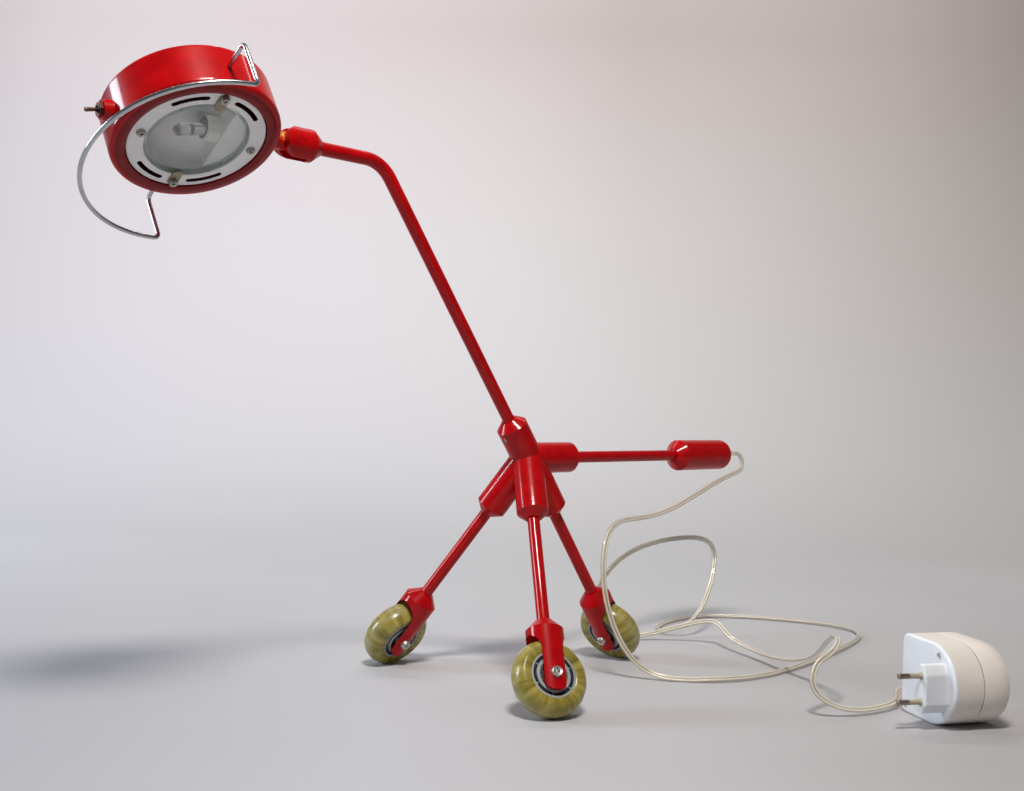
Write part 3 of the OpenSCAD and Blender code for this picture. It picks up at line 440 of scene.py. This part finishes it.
# Dark brown painted shade: the bottom of the case's groove, and the end of the bulb's collar.
DARK_PAINTED_SHADE = plastic("painted_shade_brown", srgb(100, 90, 84), srgb(82, 74, 69), 0.7)
# Dark maroon painted shade, for the slot walls of the face disc.
SLOT_PAINTED_SHADE = plastic("slot_painted_shade", srgb(78, 20, 22), srgb(58, 14, 16), 0.7)
SLEEVE = plastic("sleeve_plastic", srgb(190, 181, 156), srgb(172, 162, 138), 0.45)


def urethane():
    """Cast urethane: amber olive with soft radial streaks, dusty on the crown, and a little see-through."""
    f = Finish("tyre_urethane", Roughness=0.32, Coat_Weight=0.25, Coat_Roughness=0.12, IOR=1.5,
               Subsurface_Weight=0.5, Subsurface_Scale=0.005, Subsurface_Radius=(1.0, 0.8, 0.3))
    at, across = f.wrapped(26.0, 1.2)
    streak = f.noise(1.0, 4.0, at, 0.55)
    tone = f.ramp(streak, (0.3, srgb(104, 92, 24)), (0.5, srgb(149, 136, 54)), (0.7, srgb(184, 171, 94)))
    crown = f.ramp(across, (0.3, 0.0), (0.5, 0.6), (0.7, 0.0))
    dust = f.math("MULTIPLY", crown, f.ramp(f.noise(160.0, 4.0), (0.35, 0.3), (0.65, 1.0)))
    f.link(f.mix(dust, tone, srgb(174, 170, 134)), "Base Color")
    f.bump(f.noise(1.0, 2.0, f.wrapped(90.0, 8.0)[0]), 0.08, 0.0004)
    return f.material


def clear_glass(name, tint):
    """Clear blown glass with a faint and uneven film."""
    f = Finish(name, Base_Color=tint, IOR=1.5, Transmission_Weight=1.0)
    f.link(f.ramp(f.noise(260.0, 4.0), (0.4, 0.0), (0.7, 0.09)), "Roughness")
    return f.material


def hazy_glass(name, tint, low, high):
    """Sheet glass with a film of dust: see-through, with a thin and uneven haze."""
    f = Finish(name, Base_Color=tint, Roughness=0.12, IOR=1.5)
    f.link(f.ramp(f.noise(45.0, 5.0), (0.3, low), (0.7, high)), "Alpha")
    return f.material


def clear_flex():
    """Clear vinyl over two tinned strands, which shine through the lobes; the skin between them is dim."""
    f = Finish("clear_flex", Roughness=0.28, Coat_Weight=0.9, Coat_Roughness=0.05, IOR=1.5)
    uv = f.parts(f.node("ShaderNodeTexCoord").outputs["UV"])
    lobe = f.math("ABSOLUTE", f.math("COSINE", f.math("MULTIPLY", uv["Y"], 2 * np.pi)))
    core = f.ramp(lobe, (0.04, 0.1), (0.2, 1.0), (0.55, 1.0), (0.85, 0.0))
    slanted = f.where("UV", turn=(0, 0, 0.35))
    lay = f.node("ShaderNodeTexWave", {"Vector": slanted, "Scale": 5.0, "Distortion": 0.6},
                 wave_profile="SIN").outputs["Fac"]
    strand = f.mix(f.noise(28.0, 4.0), srgb(236, 226, 200), srgb(252, 250, 242))
    strand = f.mix(f.math("MULTIPLY", lay, 0.2), strand, srgb(190, 172, 136))
    f.link(f.mix(core, srgb(176, 164, 142), strand), "Base Color")
    f.link(f.math("MULTIPLY", core, 0.2), "Metallic")
    f.link(f.math("MULTIPLY_ADD", core, 0.45, 0.38), "Alpha")
    f.bump(lay, 0.2, 0.0002)
    return f.material


TYRE = urethane()
GLASS = hazy_glass("front_glass", srgb(226, 234, 230), 0.08, 0.2)
GLASS_EDGE = hazy_glass("front_glass_edge", srgb(158, 188, 180), 0.35, 0.5)
BULB_GLASS = clear_glass("bulb_glass", (0.97, 0.98, 0.98, 1.0))
FLEX = clear_flex()


# Camera, at the photograph's place: angles in degrees, metres, and pixels of the photograph

AZIMUTH, ELEVATION, ROLL = -43.2, -0.06, 1.97
CAMERA_AT = (-0.64281, -0.66309, 0.23257)
FOCAL_PX = 1107.85
FRAME_PX = 1024
SENSOR = 36.0


def camera():
    """Looks along the azimuth and elevation, and is rolled a little about its own axis."""
    azimuth, elevation, roll = np.radians([AZIMUTH, ELEVATION, ROLL])
    back = np.array([np.sin(azimuth), -np.cos(azimuth), 0.0]) * np.cos(elevation)
    back[2] = np.sin(elevation)
    right = np.array([np.cos(azimuth), np.sin(azimuth), 0.0])
    up = np.cross(back, right)
    c, s = np.cos(roll), np.sin(roll)
    data = bpy.data.cameras.new("camera")
    data.sensor_fit = "HORIZONTAL"
    data.sensor_width = SENSOR
    data.lens = FOCAL_PX / FRAME_PX * SENSOR
    data.clip_start = 0.01
    obj = bpy.data.objects.new("camera", data)
    turn = np.eye(4)
    turn[:3, 0] = c * right + s * up
    turn[:3, 1] = c * up - s * right
    turn[:3, 2] = back
    turn[:3, 3] = CAMERA_AT
    obj.matrix_world = Matrix(turn.tolist())
    scene.collection.objects.link(obj)
    scene.camera = obj


camera()


# Cord: out of the tail, down to the floor, round in loops and into the transformer

CORD = np.array([
    [260, 0, 182], [283, 0, 182], [301, 0, 185], [305, -5, 165], [264, -10, 163],
    [170, -19, 131], [112, -26, 128], [58, -36, 131], [40, -50, 66], [76, -62, -2],
    [108, -110, 4], [170, -134, 2], [290, -118, 4], [408, -94, 2], [422, -42, 3],
    [372, 48, 2], [312, 82, 2], [216, 49, 2], [242, 4, 10], [292, 22, 48],
    [308, 28, 92], [262, 38, 97], [190, 52, 88], [146, 57, 50], [162, 64, -4],
    [206, 22, 6], [239, -25, 30], [225, -43, 13], [219, -80, 8], [204, -109, 9],
    [192, -141, 14], [180, -167, 24], [164, -183, 37], [153, -199, 52], [141, -211, 53],
    [128, -217, 48], [115, -216, 43], [106, -214, 40], [99, -214, 31], [97, -216, 22],
    [101, -221, 14], [112, -230, 7], [130, -238, 4], [153, -245, 5], [177, -245, 6],
    [195, -231, 8], [212, -235, 9], [207, -251, 9], [199, -265, 9]], float)
CORD_STEPS = 9
CORE_R = 1.28
CORES_APART = 1.18


def cord_line():
    """The curve that the steering points pull along: a uniform cubic B-spline that ends on the end points."""
    k = np.vstack([2 * CORD[0] - CORD[1], CORD, 2 * CORD[-1] - CORD[-2]])
    t = (np.arange(CORD_STEPS) / CORD_STEPS)[None, :, None]
    a, b, c, d = (k[i:len(k) - 3 + i, None] for i in range(4))
    line = ((1 - t) ** 3 * a + (3 * t ** 3 - 6 * t ** 2 + 4) * b
            + (-3 * t ** 3 + 3 * t ** 2 + 3 * t + 1) * c + t ** 3 * d) / 6
    return np.vstack([line.reshape(-1, 3), CORD[-1]])


def flat_sides(path):
    """The flat flex's wide direction at each point, carried along the path.

    It settles square to an outward direction: up on the floor, to the front and slowly rolling in the air."""
    settle, lying, rise, first_crest, wave = 0.15, 8, 30, 130, 260
    front, up = np.array([-0.66, -0.75, 0.0]), np.array([0, 0, 1.0])
    air = np.clip((path[:, 2:] - lying) / rise, 0, 1)
    run = np.concatenate([[0], np.cumsum(np.linalg.norm(np.diff(path, axis=0), axis=1))])[:, None]
    lift = 0.62 + 0.55 * np.cos(2 * np.pi * (run - first_crest) / wave)
    outward = (0.55 + 0.45 * air) * front + ((1 - air) + air * lift) * up
    wide = np.array([0.0, 1.0, 0.0])
    sides = []
    for heading, out in zip(headings(path), outward):
        s = wide - heading * (wide @ heading)
        across = np.cross(out, heading)
        s = s + settle * (-1 if across @ s < 0 else 1) * across
        wide = s / np.linalg.norm(s)
        sides.append(wide)
    return np.array(sides)


def cord():
    """Two round cores side by side: a circle whose halves are drawn apart, with a waist between them."""
    steep, waist, waist_width, uv_length = 4, 0.35, 0.75, 4.0
    path = cord_line()
    a = around(24)
    x = CORE_R * np.cos(a) + CORES_APART * np.tanh(steep * np.cos(a)) / np.tanh(steep)
    y = CORE_R * np.sin(a) * (1 - waist * np.exp(-(x / waist_width) ** 2))
    length = np.linalg.norm(np.diff(path, axis=0), axis=1).sum()
    tube = sweep(path, np.stack([x, y], 1), flat_sides(path), uv=(length / uv_length, 1.0))
    obj = piece("clear_cord", [tube], [FLEX], "stand", ["cord"], FRAME, 80)
    ends = [nodes[n] for n in ("cord_relief", "plug_pins", "pin_sleeves", "case_screws")]
    return obj, path * MM, length * MM, ends


cord_obj, cord_path, cord_length, cord_ends = cord()


# Wheels

def tyres():
    """The tread's crown is an arc; the sides run in to a low lip at the core. Turned round the axle."""
    side = np.degrees(np.arcsin(TREAD_HALF / CROWN_R))
    crown = bend(WHEEL_R - CROWN_R, 0, CROWN_R, -side, side, 28)
    lip = np.array([[17.55, -8.6], [17.55, -9.3], [18.0, -9.6], [19.4, -9.7]])
    profile = np.vstack([lip, crown, lip[::-1] * [1, -1], lip[:1]])
    for leg in LEG_TURN:
        piece("tyre_tread_" + leg, [revolve(profile, 144)], [TYRE], "wheel_" + leg,
              ["tyre_" + leg], axle_place(leg), 50)


tyres()


# Handle

def handle():
    """One wire: out of the drum, round a corner, forward, round again and into a half circle. Mirrored."""
    half, drop, r = HANDLE_HALF, HANDLE_DROP, HANDLE_BEND
    a = np.radians(np.linspace(90, 0, 9))
    bow = np.radians(np.linspace(90 + np.degrees(np.arcsin(r / half)), 180, 48))
    straight = np.stack([np.zeros(8), np.linspace(HANDLE_END, half - r, 8), np.zeros(8)], 1)
    first = np.stack([np.zeros(9), half - r + r * np.cos(a), -r + r * np.sin(a)], 1)
    forward = np.stack([np.zeros(8), np.full(8, half), np.linspace(-r, -drop + r, 8)], 1)
    second = np.stack([-r + r * np.sin(a), np.full(9, half), -drop + r - r * np.cos(a)], 1)
    curve = level(half * np.stack([np.cos(bow), np.sin(bow)], 1), -drop)
    arm = np.vstack([straight, first[1:], forward[1:], second[1:], curve[1:]])
    path = np.vstack([arm, (arm * [1, -1, 1])[::-1][1:]])
    piece("handle_wire", [rod(path, HANDLE_WIRE_R, (1, 0, 0), 20)], [CHROME], "handle",
          ["handle_bail"], HEAD, 60)


handle()


# Face, glass and bulb

def within(points, loop):
    """Whether each point lies in a loop.

    It does if a line to its right crosses the loop's edges an odd number of times."""
    a, b = loop, np.roll(loop, -1, 0)
    x, y = points[:, :1], points[:, 1:]
    across = (a[:, 1] > y) != (b[:, 1] > y)
    run = np.where(a[:, 1] == b[:, 1], 1.0, b[:, 1] - a[:, 1])
    return (across & (x < a[:, 0] + (y - a[:, 1]) * (b[:, 0] - a[:, 0]) / run)).sum(1) % 2 == 1


def cut_face(loops):
    """A flat face inside its first loop and outside the others, cut into triangles."""
    start = np.cumsum([0] + [len(l) for l in loops[:-1]])
    edges = [(int(s + k), int(s + (k + 1) % len(l))) for s, l in zip(start, loops) for k in range(len(l))]
    corners = [Vector(p) for p in np.vstack(loops)]
    points, _, triangles, *_ = delaunay_2d_cdt(corners, edges, [], 1, 1e-5)
    points, triangles = np.array(points), np.array([list(t) for t in triangles])
    middle = points[triangles].mean(1)
    return points, triangles[~np.any([within(middle, l) for l in loops[1:]], axis=0)]


def slot_loop(middle):
    """A slot along a circle: an outer arc, a round end, an inner arc back and the other round end."""
    low, high, half = middle - SLOT_HALF_SPAN, middle + SLOT_HALF_SPAN, SLOT_HALF_WIDTH
    first, last = bend(0, 0, SLOT_R, low, high, 1)
    return np.vstack([bend(0, 0, SLOT_R + half, low, high, 20),
                      bend(*last, half, high, high + 180, 10)[1:-1],
                      bend(0, 0, SLOT_R - half, high, low, 20),
                      bend(*first, half, low + 180, low + 360, 10)[1:-1]])


def face_disc():
    """The white disc round the glass: a flat ring with four slots and four screw holes, its edges broken."""
    cut, sides, front, back = 0.3, 160, DISC_FRONT, DISC_BACK
    screws = ((PLATE_SCREW_OUT, 0), (-PLATE_SCREW_OUT, 0), (0, CLIP_SCREW_OUT), (0, -CLIP_SCREW_OUT))
    cuts = [slot_loop(m) for m in SLOT_MIDDLES] + [ring(x, y, FACE_HOLE_R, 24) for x, y in screws]
    rims = [revolve([[DISC_R - cut, front], [DISC_R, front + cut], [DISC_R, back]], sides),
            revolve([[OPENING_R, back], [OPENING_R, front + cut], [OPENING_R + cut, front]], sides)]
    # The slot walls are dark maroon: painted shade of the drum's inside, seen through the slots.
    walls = [patch(np.stack([level(l, z) for z in (front, back)]), close_v=True, finish=1) for l in cuts]
    loose = []
    for z, edge in ((front, cut), (back, 0.0)):
        rings = [ring(0, 0, DISC_R - edge, sides), ring(0, 0, OPENING_R + edge, sides)]
        flat, triangles = cut_face(rings + cuts)
        loose.append((level(flat, z), triangles, 0))
    piece("face_disc", rims + walls, [PLATE, SLOT_PAINTED_SHADE], "head", ["face_plate"], HEAD, 25,
          loose)


def rim_lip():
    """The drum's lip round the disc: a low parabola from the opening to the drum's edge, turned about Z. Its
    darker red enamel is painted shade.
    """
    inner, outer, middle, half = 44.75, 51.3, 48.02, 3.28
    front, rise, inner_foot, outer_foot = -13.92, 0.5, -13.0, -13.5
    r = np.linspace(inner, outer, 12)
    dome = np.stack([r, front - rise * (1 - ((r - middle) / half) ** 2)], 1)
    profile = np.vstack([[[inner, inner_foot]], dome, [[outer, outer_foot], [inner, inner_foot]]])
    piece("rim_lip", [revolve(profile, 160)], [RED_LIP_PAINTED_SHADE], "head", (), HEAD, 25)


def front_glass():
    """A disc whose front edge has a broad bevel: its faces are clear, and its bevel and rim greenish."""
    r, near, far, bevel, cut, sides = GLASS_R, DISC_FRONT, GLASS_BACK, 2.0, 0.4, 128
    faces = [revolve([[0, near], [r - bevel, near]], sides), revolve([[r - cut, far], [0, far]], sides)]
    rim = revolve([[r - bevel, near], [r - 0.3, near + 1.2], [r, near + 1.6], [r, far - cut], [r - cut, far]],
                  sides, 1)
    piece("front_lens", faces + [rim], [GLASS, GLASS_EDGE], "head", ["front_glass"], HEAD, 20)


def bulb_walls():
    """Outer and inner wall of the capsule: a tube with a round shoulder and a small tip, turned about Z."""
    outer = np.vstack([[[0, 8.6], [2.8, 8.9], [3.7, 9.8], [4.0, 11.2]], bend(0.6, 27.6, 3.4, 0, 68, 10),
                       [[1.4, 31.1], [0.9, 31.6], [0.5, 32.2], [0, 32.2]]])
    inner = np.vstack([[[0, 10.0], [2.4, 10.2], [3.1, 11.2]], bend(0.7, 27.3, 2.4, 0, 80, 8), [[0, 29.8]]])
    return [revolve(outer, 48), revolve(inner, 48)]


def pinched_stem():
    """The capsule's flat foot: a superellipse, drawn in at both ends."""
    c, s = np.cos(around(40)), np.sin(around(40))
    x, y = 1.7 * np.sign(c) * np.abs(c) ** 0.4, 3.6 * np.sign(s) * np.abs(s) ** 0.4
    share, z = np.array([[0, 0], [0.9, 0], [1, 0.3], [1, 8.2], [0.85, 9.2], [0, 9.3]]).T
    grid = np.stack([np.outer(share, x), np.outer(share, y), np.repeat(z[:, None], len(x), 1)], -1)
    return patch(grid, close_v=True)


def bulb_wires():
    """A filament coiled across the capsule, its two leads, and two foils in the stem."""
    turns, coil_r, middle = 9, 1.1, 19.0
    a = np.linspace(0, 2 * np.pi * turns, turns * 14)
    coil = np.stack([coil_r * np.cos(a), np.linspace(-2.2, 2.2, len(a)), middle + coil_r * np.sin(a)], 1)
    wires = [rod(coil, 0.24, (0, 1, 0.3), 6, 1)]
    for out, low, high, radius, sides in ((2.0, 5.0, middle, 0.3, 8), (1.7, 1.5, 7.5, 0.7, 10)):
        for side in (-1, 1):
            path = np.stack([np.zeros(6), np.full(6, side * out), np.linspace(low, high, 6)], 1)
            wires.append(rod(path, radius, (1, 0, 0), sides, 1))
    return wires


def bulb():
    """A halogen capsule that leans out of a round collar on the wall."""
    seat = put(BULB_SEAT, HEAD)
    piece("halogen_capsule", bulb_walls() + [pinched_stem()] + bulb_wires(), [BULB_GLASS, DULL_STEEL], "head",
          ["bulb"], (HEAD[0] @ turn_y(-BULB_LEAN), seat), 50)
    collar = revolve([[0, 0], [8.6, 0], [8.6, 8.2], [8.1, 8.8], [7.4, 9.0]], 64)
    # The collar's end is dark: painted shade on the face that turns away from the light.
    end = revolve([[7.4, 9.0], [4.8, 9.0], [4.6, 7.6], [0, 7.6]], 64, 1)
    piece("holder_collar", [collar, end], [CERAMIC, DARK_PAINTED_SHADE], "head", (),
          (HEAD[0] @ turn_y(-90), seat), 35)


face_disc()
rim_lip()
front_glass()
bulb()


# Transformer case

def case_outline(inset):
    """Flat on one side, round on the other: two straight runs, a half circle and two corners, drawn in."""
    height, straight, corner = CASE_HEIGHT, CASE_STRAIGHT, CASE_CORNER
    r = height / 2
    low = np.stack([np.linspace(corner, straight, 12), np.full(12, inset)], 1)
    nose = bend(straight, r, r - inset, -90, 90, 64)
    high = np.stack([np.linspace(straight, corner, 12), np.full(12, height - inset)], 1)
    top = bend(corner, height - corner, corner - inset, 90, 180, 10)
    flat = np.stack([np.full(12, inset), np.linspace(height - corner, corner, 12)], 1)
    foot = bend(corner, corner, corner - inset, 180, 270, 10)
    return np.vstack([low, nose[1:], high[1:], top[1:], flat[1:], foot[1:-1]])


def upright(flat, depth):
    """Flat points stood up at a depth of the case."""
    return np.stack([flat[:, 0], np.full(len(flat), depth), flat[:, 1]], 1)


def case_wall(stations, finish=0):
    """The outline at each depth and inset, one after the other."""
    grid = [upright(case_outline(inset), depth) for depth, inset in stations]
    return patch(np.array(grid), close_v=True, finish=finish)


def plug_body():
    """An eight-sided block: its corners are parabolas, and its front edge follows a quarter ellipse."""
    w, h = PLUG_HALF_WIDTH, PLUG_HALF_HEIGHT
    flat, tip, soft, draw = 0.62 * h, 0.36 * w, 0.9, 0.12
    corners = np.array([[w, -flat], [w, flat], [tip, h], [-tip, h], [-w, flat], [-w, -flat], [-tip, -h],
                        [tip, -h]])
    before, after = np.roll(corners, 1, 0) - corners, np.roll(corners, -1, 0) - corners
    first = (corners + soft * before / np.linalg.norm(before, axis=1, keepdims=True))[:, None]
    last = (corners + soft * after / np.linalg.norm(after, axis=1, keepdims=True))[:, None]
    s = np.linspace(0, 1, 5)[None, :, None]
    outline = (1 - s) ** 2 * first + 2 * s * (1 - s) * corners[:, None] + s ** 2 * last
    outline = outline.reshape(-1, 2)
    inward = w * outline / np.linalg.norm(outline, axis=1, keepdims=True)
    a = np.radians(np.linspace(0, 90, 6))
    insets, depths = draw * (1 - np.cos(a)), 1.0 - PLUG_LENGTH - np.sin(a)
    rings = [upright(outline, 0.5)]
    rings += [upright(outline - inset * inward, depth) for inset, depth in zip(insets, depths)]
    rings.append(upright(0 * outline, -PLUG_LENGTH))
    return patch(np.array(rings) + [PLUG_MIDDLE[0], 0, PLUG_MIDDLE[1]], close_v=True)


def pocket(x, z):
    """A shallow round recess in the case's face: its wall and its floor."""
    rim = ring(0, 0, POCKET_R, 24)
    stations = ((1, 0), (1, POCKET_DEPTH), (0, POCKET_DEPTH))
    return patch(np.array([upright(share * rim + [x, z], depth) for share, depth in stations]), close_v=True)


def case_face():
    """The front half: a wall up to the split in the warm tint, then a rounded edge, a face with two pockets
    and the plug in the cool tint; both tints are painted light on one white plastic.
    """
    a = np.radians(np.linspace(0, 90, 8))
    wall = np.array([[CASE_SPLIT - 0.25, 0.5], [CASE_SPLIT - 0.5, 0.0], [CASE_EDGE + 0.6, 0.0]])
    edge = np.vstack([wall[-1:], CASE_EDGE * np.stack([1 - np.sin(a), 1 - np.cos(a)], 1)])
    flat, triangles = cut_face([case_outline(CASE_EDGE)] + [ring(x, z, POCKET_R, 24) for x, z in POCKETS])
    patches = [case_wall(wall, 1), case_wall(edge), plug_body()] + [pocket(x, z) for x, z in POCKETS]
    piece("case_face", patches, [CASE_PAINTED_COOL, CASE_PAINTED_WARM], "stand", ["case_front"], CASE, 35,
          [(upright(flat, 0), triangles, 0)])


def case_shell():
    """The back half, in the warm tint of painted light: a wall from the split that draws in a little, a
    rounded edge and a flat back.
    """
    r, draft = CASE_BACK_EDGE, 1.3
    a = np.radians(np.linspace(0, 90, 8))
    lip = [[CASE_SPLIT + 0.25, 0.5], [CASE_SPLIT + 0.4, 0.12], [CASE_SPLIT + 0.7, 0.0]]
    side = [[40.0, 0.0], [44.5, 0.5]]
    edge = np.stack([CASE_DEPTH - r * (1 - np.sin(a)), draft + r * (1 - np.cos(a))], 1)
    wall = case_wall(np.vstack([lip, side, edge]))
    last = wall["grid"][-1]
    middle = upright(case_outline(0).mean(0)[None], CASE_DEPTH)
    back = patch(np.array([last, np.repeat(middle, len(last), 0)]), close_v=True)
    piece("case_shell", [wall, back], [CASE_PAINTED_WARM], "stand", ["case_back"], CASE, 35)


def case_split():
    """A dark strip of painted shade at the bottom of the groove between the halves."""
    near, far, deep, shallow = CASE_SPLIT - 1, CASE_SPLIT + 1, 0.9, 0.45
    strip = case_wall([(near, deep), (near, shallow), (far, shallow), (far, deep)])
    piece("case_split", [strip], [DARK_PAINTED_SHADE], "stand", (), CASE, 35)


case_face()
case_shell()
case_split()

cord_ends += [bpy.data.objects[n] for n in ("case_face", "case_shell", "case_split")]


# Finishes of the solids that stay

def each_leg(*names):
    """A node's name on each of the three legs."""
    return [name + "_" + leg for name in names for leg in LEG_TURN]


FINISHES = {
    RED: ["hub", "neck_tube", "tail_tube", "tail_end", "knuckle", "tilt_pin", "drum",
          *each_leg("leg_rod", "fork")],
    RED_WORN: ["head_stem"],
    STEEL: ["grub_screws", "swivel_screws", "stem_nut", "case_screws",
            *each_leg("axle_sleeve", "axle_screws")],
    PLATE_SCREW: ["plate_screws"],
    CLIP_SCREW: ["clip_screws"],
    BRONZE: ["switch_lever"],
    DARK_NUT: ["switch_nut"],
    NICKEL: ["glass_clips"],
    SHEET: ["reflector"],
    PLATE: ["bulb_wall"],
    CERAMIC: ["lamp_holder"],
    # The wheels' core rings are black: a dark sheet in the floor of each core's pockets, partly painted shade
    # of those pockets.
    BLACK: ["switch_body", "transformer_core", *each_leg("core_rings")],
    CORE: each_leg("wheel_core"),
    BEARING: each_leg("bearings"),
    FLEX: ["inner_flex", "cord_relief"],
    PIN_METAL: ["plug_pins", "transformer_coil"],
    SLEEVE: ["pin_sleeves"],
}
for finish, names in FINISHES.items():
    for name in names:
        nodes[name].data.materials.clear()
        nodes[name].data.materials.append(finish)


# Studio, in metres: away from the camera, to its right, and up

AWAY = np.array([0.6845, 0.7290, 0.0])
ASIDE = np.array([0.7290, -0.6845, 0.0])
UP = np.array([0.0, 0.0, 1.0])
MIDDLE = np.array([-0.05, 0.0, 0.2])


def sweep_paper():
    """Pale paper, with painted light and shade in its colour: a little darker near the camera and high on the
    wall, and changing in tone from side to side.

    For the camera alone, its far ends glow with painted light, so that they stay pale in every view."""
    f = Finish("sweep_paper", Roughness=0.85, Emission_Color=(1.0, 0.985, 0.99, 1.0))
    at = f.parts(f.where(turn=(0, 0, np.radians(-AZIMUTH))))
    seen = f.node("ShaderNodeLightPath").outputs["Is Camera Ray"]
    reach = f.node("ShaderNodeVectorMath", {0: f.where()}, operation="LENGTH").outputs["Value"]
    far = f.ramp(f.math("MULTIPLY", reach, 0.2), (0.15, 0.0), (0.32, 0.34), (0.7, 0.5))
    front = f.ramp(f.math("MULTIPLY", at["Y"], 0.5), (0.1, 1.0), (0.4, 0.0))
    ends = f.ramp(f.math("MULTIPLY", f.math("ABSOLUTE", at["X"]), 0.2), (0.45, 0.0), (0.7, 1.0))
    # The glow is painted light, for camera rays only.
    glow = f.math("MULTIPLY", far, f.math("MAXIMUM", front, ends))
    f.link(f.math("MULTIPLY", seen, glow), "Emission Strength")
    # The colour ramps below paint the studio's light and shade onto the paper.
    sideways = f.math("MULTIPLY_ADD", at["X"], 0.25, 0.5)
    near = f.ramp(f.math("ADD", at["X"], 0.5), (0.2, srgb(175, 176, 183)), (0.4, srgb(186, 187, 193)),
                  (0.6, srgb(183, 181, 184)), (0.8, srgb(170, 168, 170)))
    behind = f.ramp(sideways, (0.2, srgb(196, 197, 205)), (0.5, srgb(196, 197, 200)),
                    (0.85, srgb(184, 183, 182)), (1.0, srgb(181, 178, 175)))
    high = f.ramp(sideways, (0.05, srgb(176, 173, 178)), (0.3, srgb(163, 157, 161)),
                  (0.6, srgb(150, 143, 142)), (0.85, srgb(162, 154, 152)))
    depth = f.ramp(f.math("MULTIPLY_ADD", at["Y"], 0.5, 0.5), (0.4, 0.0), (0.7, 1.0))
    height = f.ramp(f.math("MULTIPLY", at["Z"], 0.5), (0.05, 0.0), (0.8, 1.0))
    f.link(f.mix(height, f.mix(depth, near, behind), high), "Base Color")
    return f.material


def backdrop():
    """One sheet of paper, flat under the lamp and bent up into a wall: a profile drawn out sideways."""
    profile = np.vstack([[[-4.0, 0.0]], bend(1.1, 2.2, 2.2, -90, -8, 40), [[3.8, 6.0]]])
    across = np.array([-6.0, 6.0])
    grid = profile[:, None, :1] * AWAY + across[None, :, None] * ASIDE + profile[:, None, 1:] * UP
    quads, _ = grid_faces(len(profile), len(across), False, False, (1, 1))
    mesh = bpy.data.meshes.new("sweep")
    mesh.from_pydata(grid.reshape(-1, 3).tolist(), [], quads.tolist())
    mesh.shade_smooth()
    mesh.materials.append(sweep_paper())
    sheet = bpy.data.objects.new("sweep", mesh)
    scene.collection.objects.link(sheet)


def lamp(name, place, aim, size, power, colour):
    """A rectangular lamp that faces a point."""
    data = bpy.data.lights.new(name, "AREA")
    data.shape = "RECTANGLE"
    data.size, data.size_y = size
    data.energy = power
    data.color = colour
    obj = bpy.data.objects.new(name, data)
    obj.location = Vector(place)
    obj.rotation_euler = Vector(place - aim).to_track_quat("Z", "Y").to_euler()
    scene.collection.objects.link(obj)


def from_middle(direction, distance):
    """A point at a distance from the middle of the table lamp."""
    return MIDDLE + distance * np.array(direction) / np.linalg.norm(direction)


def surroundings():
    """Faint light from all round, and a paler ground that only the camera sees."""
    fill, ground = 0.1, 0.45
    world = bpy.data.worlds.new("studio")
    world.use_nodes = True
    tree = world.node_tree
    sky = tree.nodes["Background"]
    sky.inputs["Color"].default_value = (0.95, 0.96, 1.0, 1.0)
    path = tree.nodes.new("ShaderNodeLightPath")
    strength = tree.nodes.new("ShaderNodeMath")
    strength.operation = "MULTIPLY_ADD"
    strength.inputs[1].default_value = ground
    strength.inputs[2].default_value = fill
    tree.links.new(path.outputs["Is Camera Ray"], strength.inputs[0])
    tree.links.new(strength.outputs[0], sky.inputs["Strength"])
    scene.world = world


backdrop()
lamp("key", from_middle((-0.347, -0.511, 1.05), 1.22), MIDDLE, (0.29, 0.16), 14.5, (1.0, 0.95, 0.89))
lamp("window", from_middle((-0.68, 0.64, 0.3), 2.3), MIDDLE, (0.4, 0.8), 25.0, (0.76, 0.88, 1.0))
lamp("wash", 1.6 * AWAY - 0.5 * ASIDE + 2.8 * UP, 3.3 * AWAY - 0.5 * ASIDE + 1.2 * UP, (3.6, 0.8), 113.0,
     (1.0, 0.955, 0.925))
surroundings()
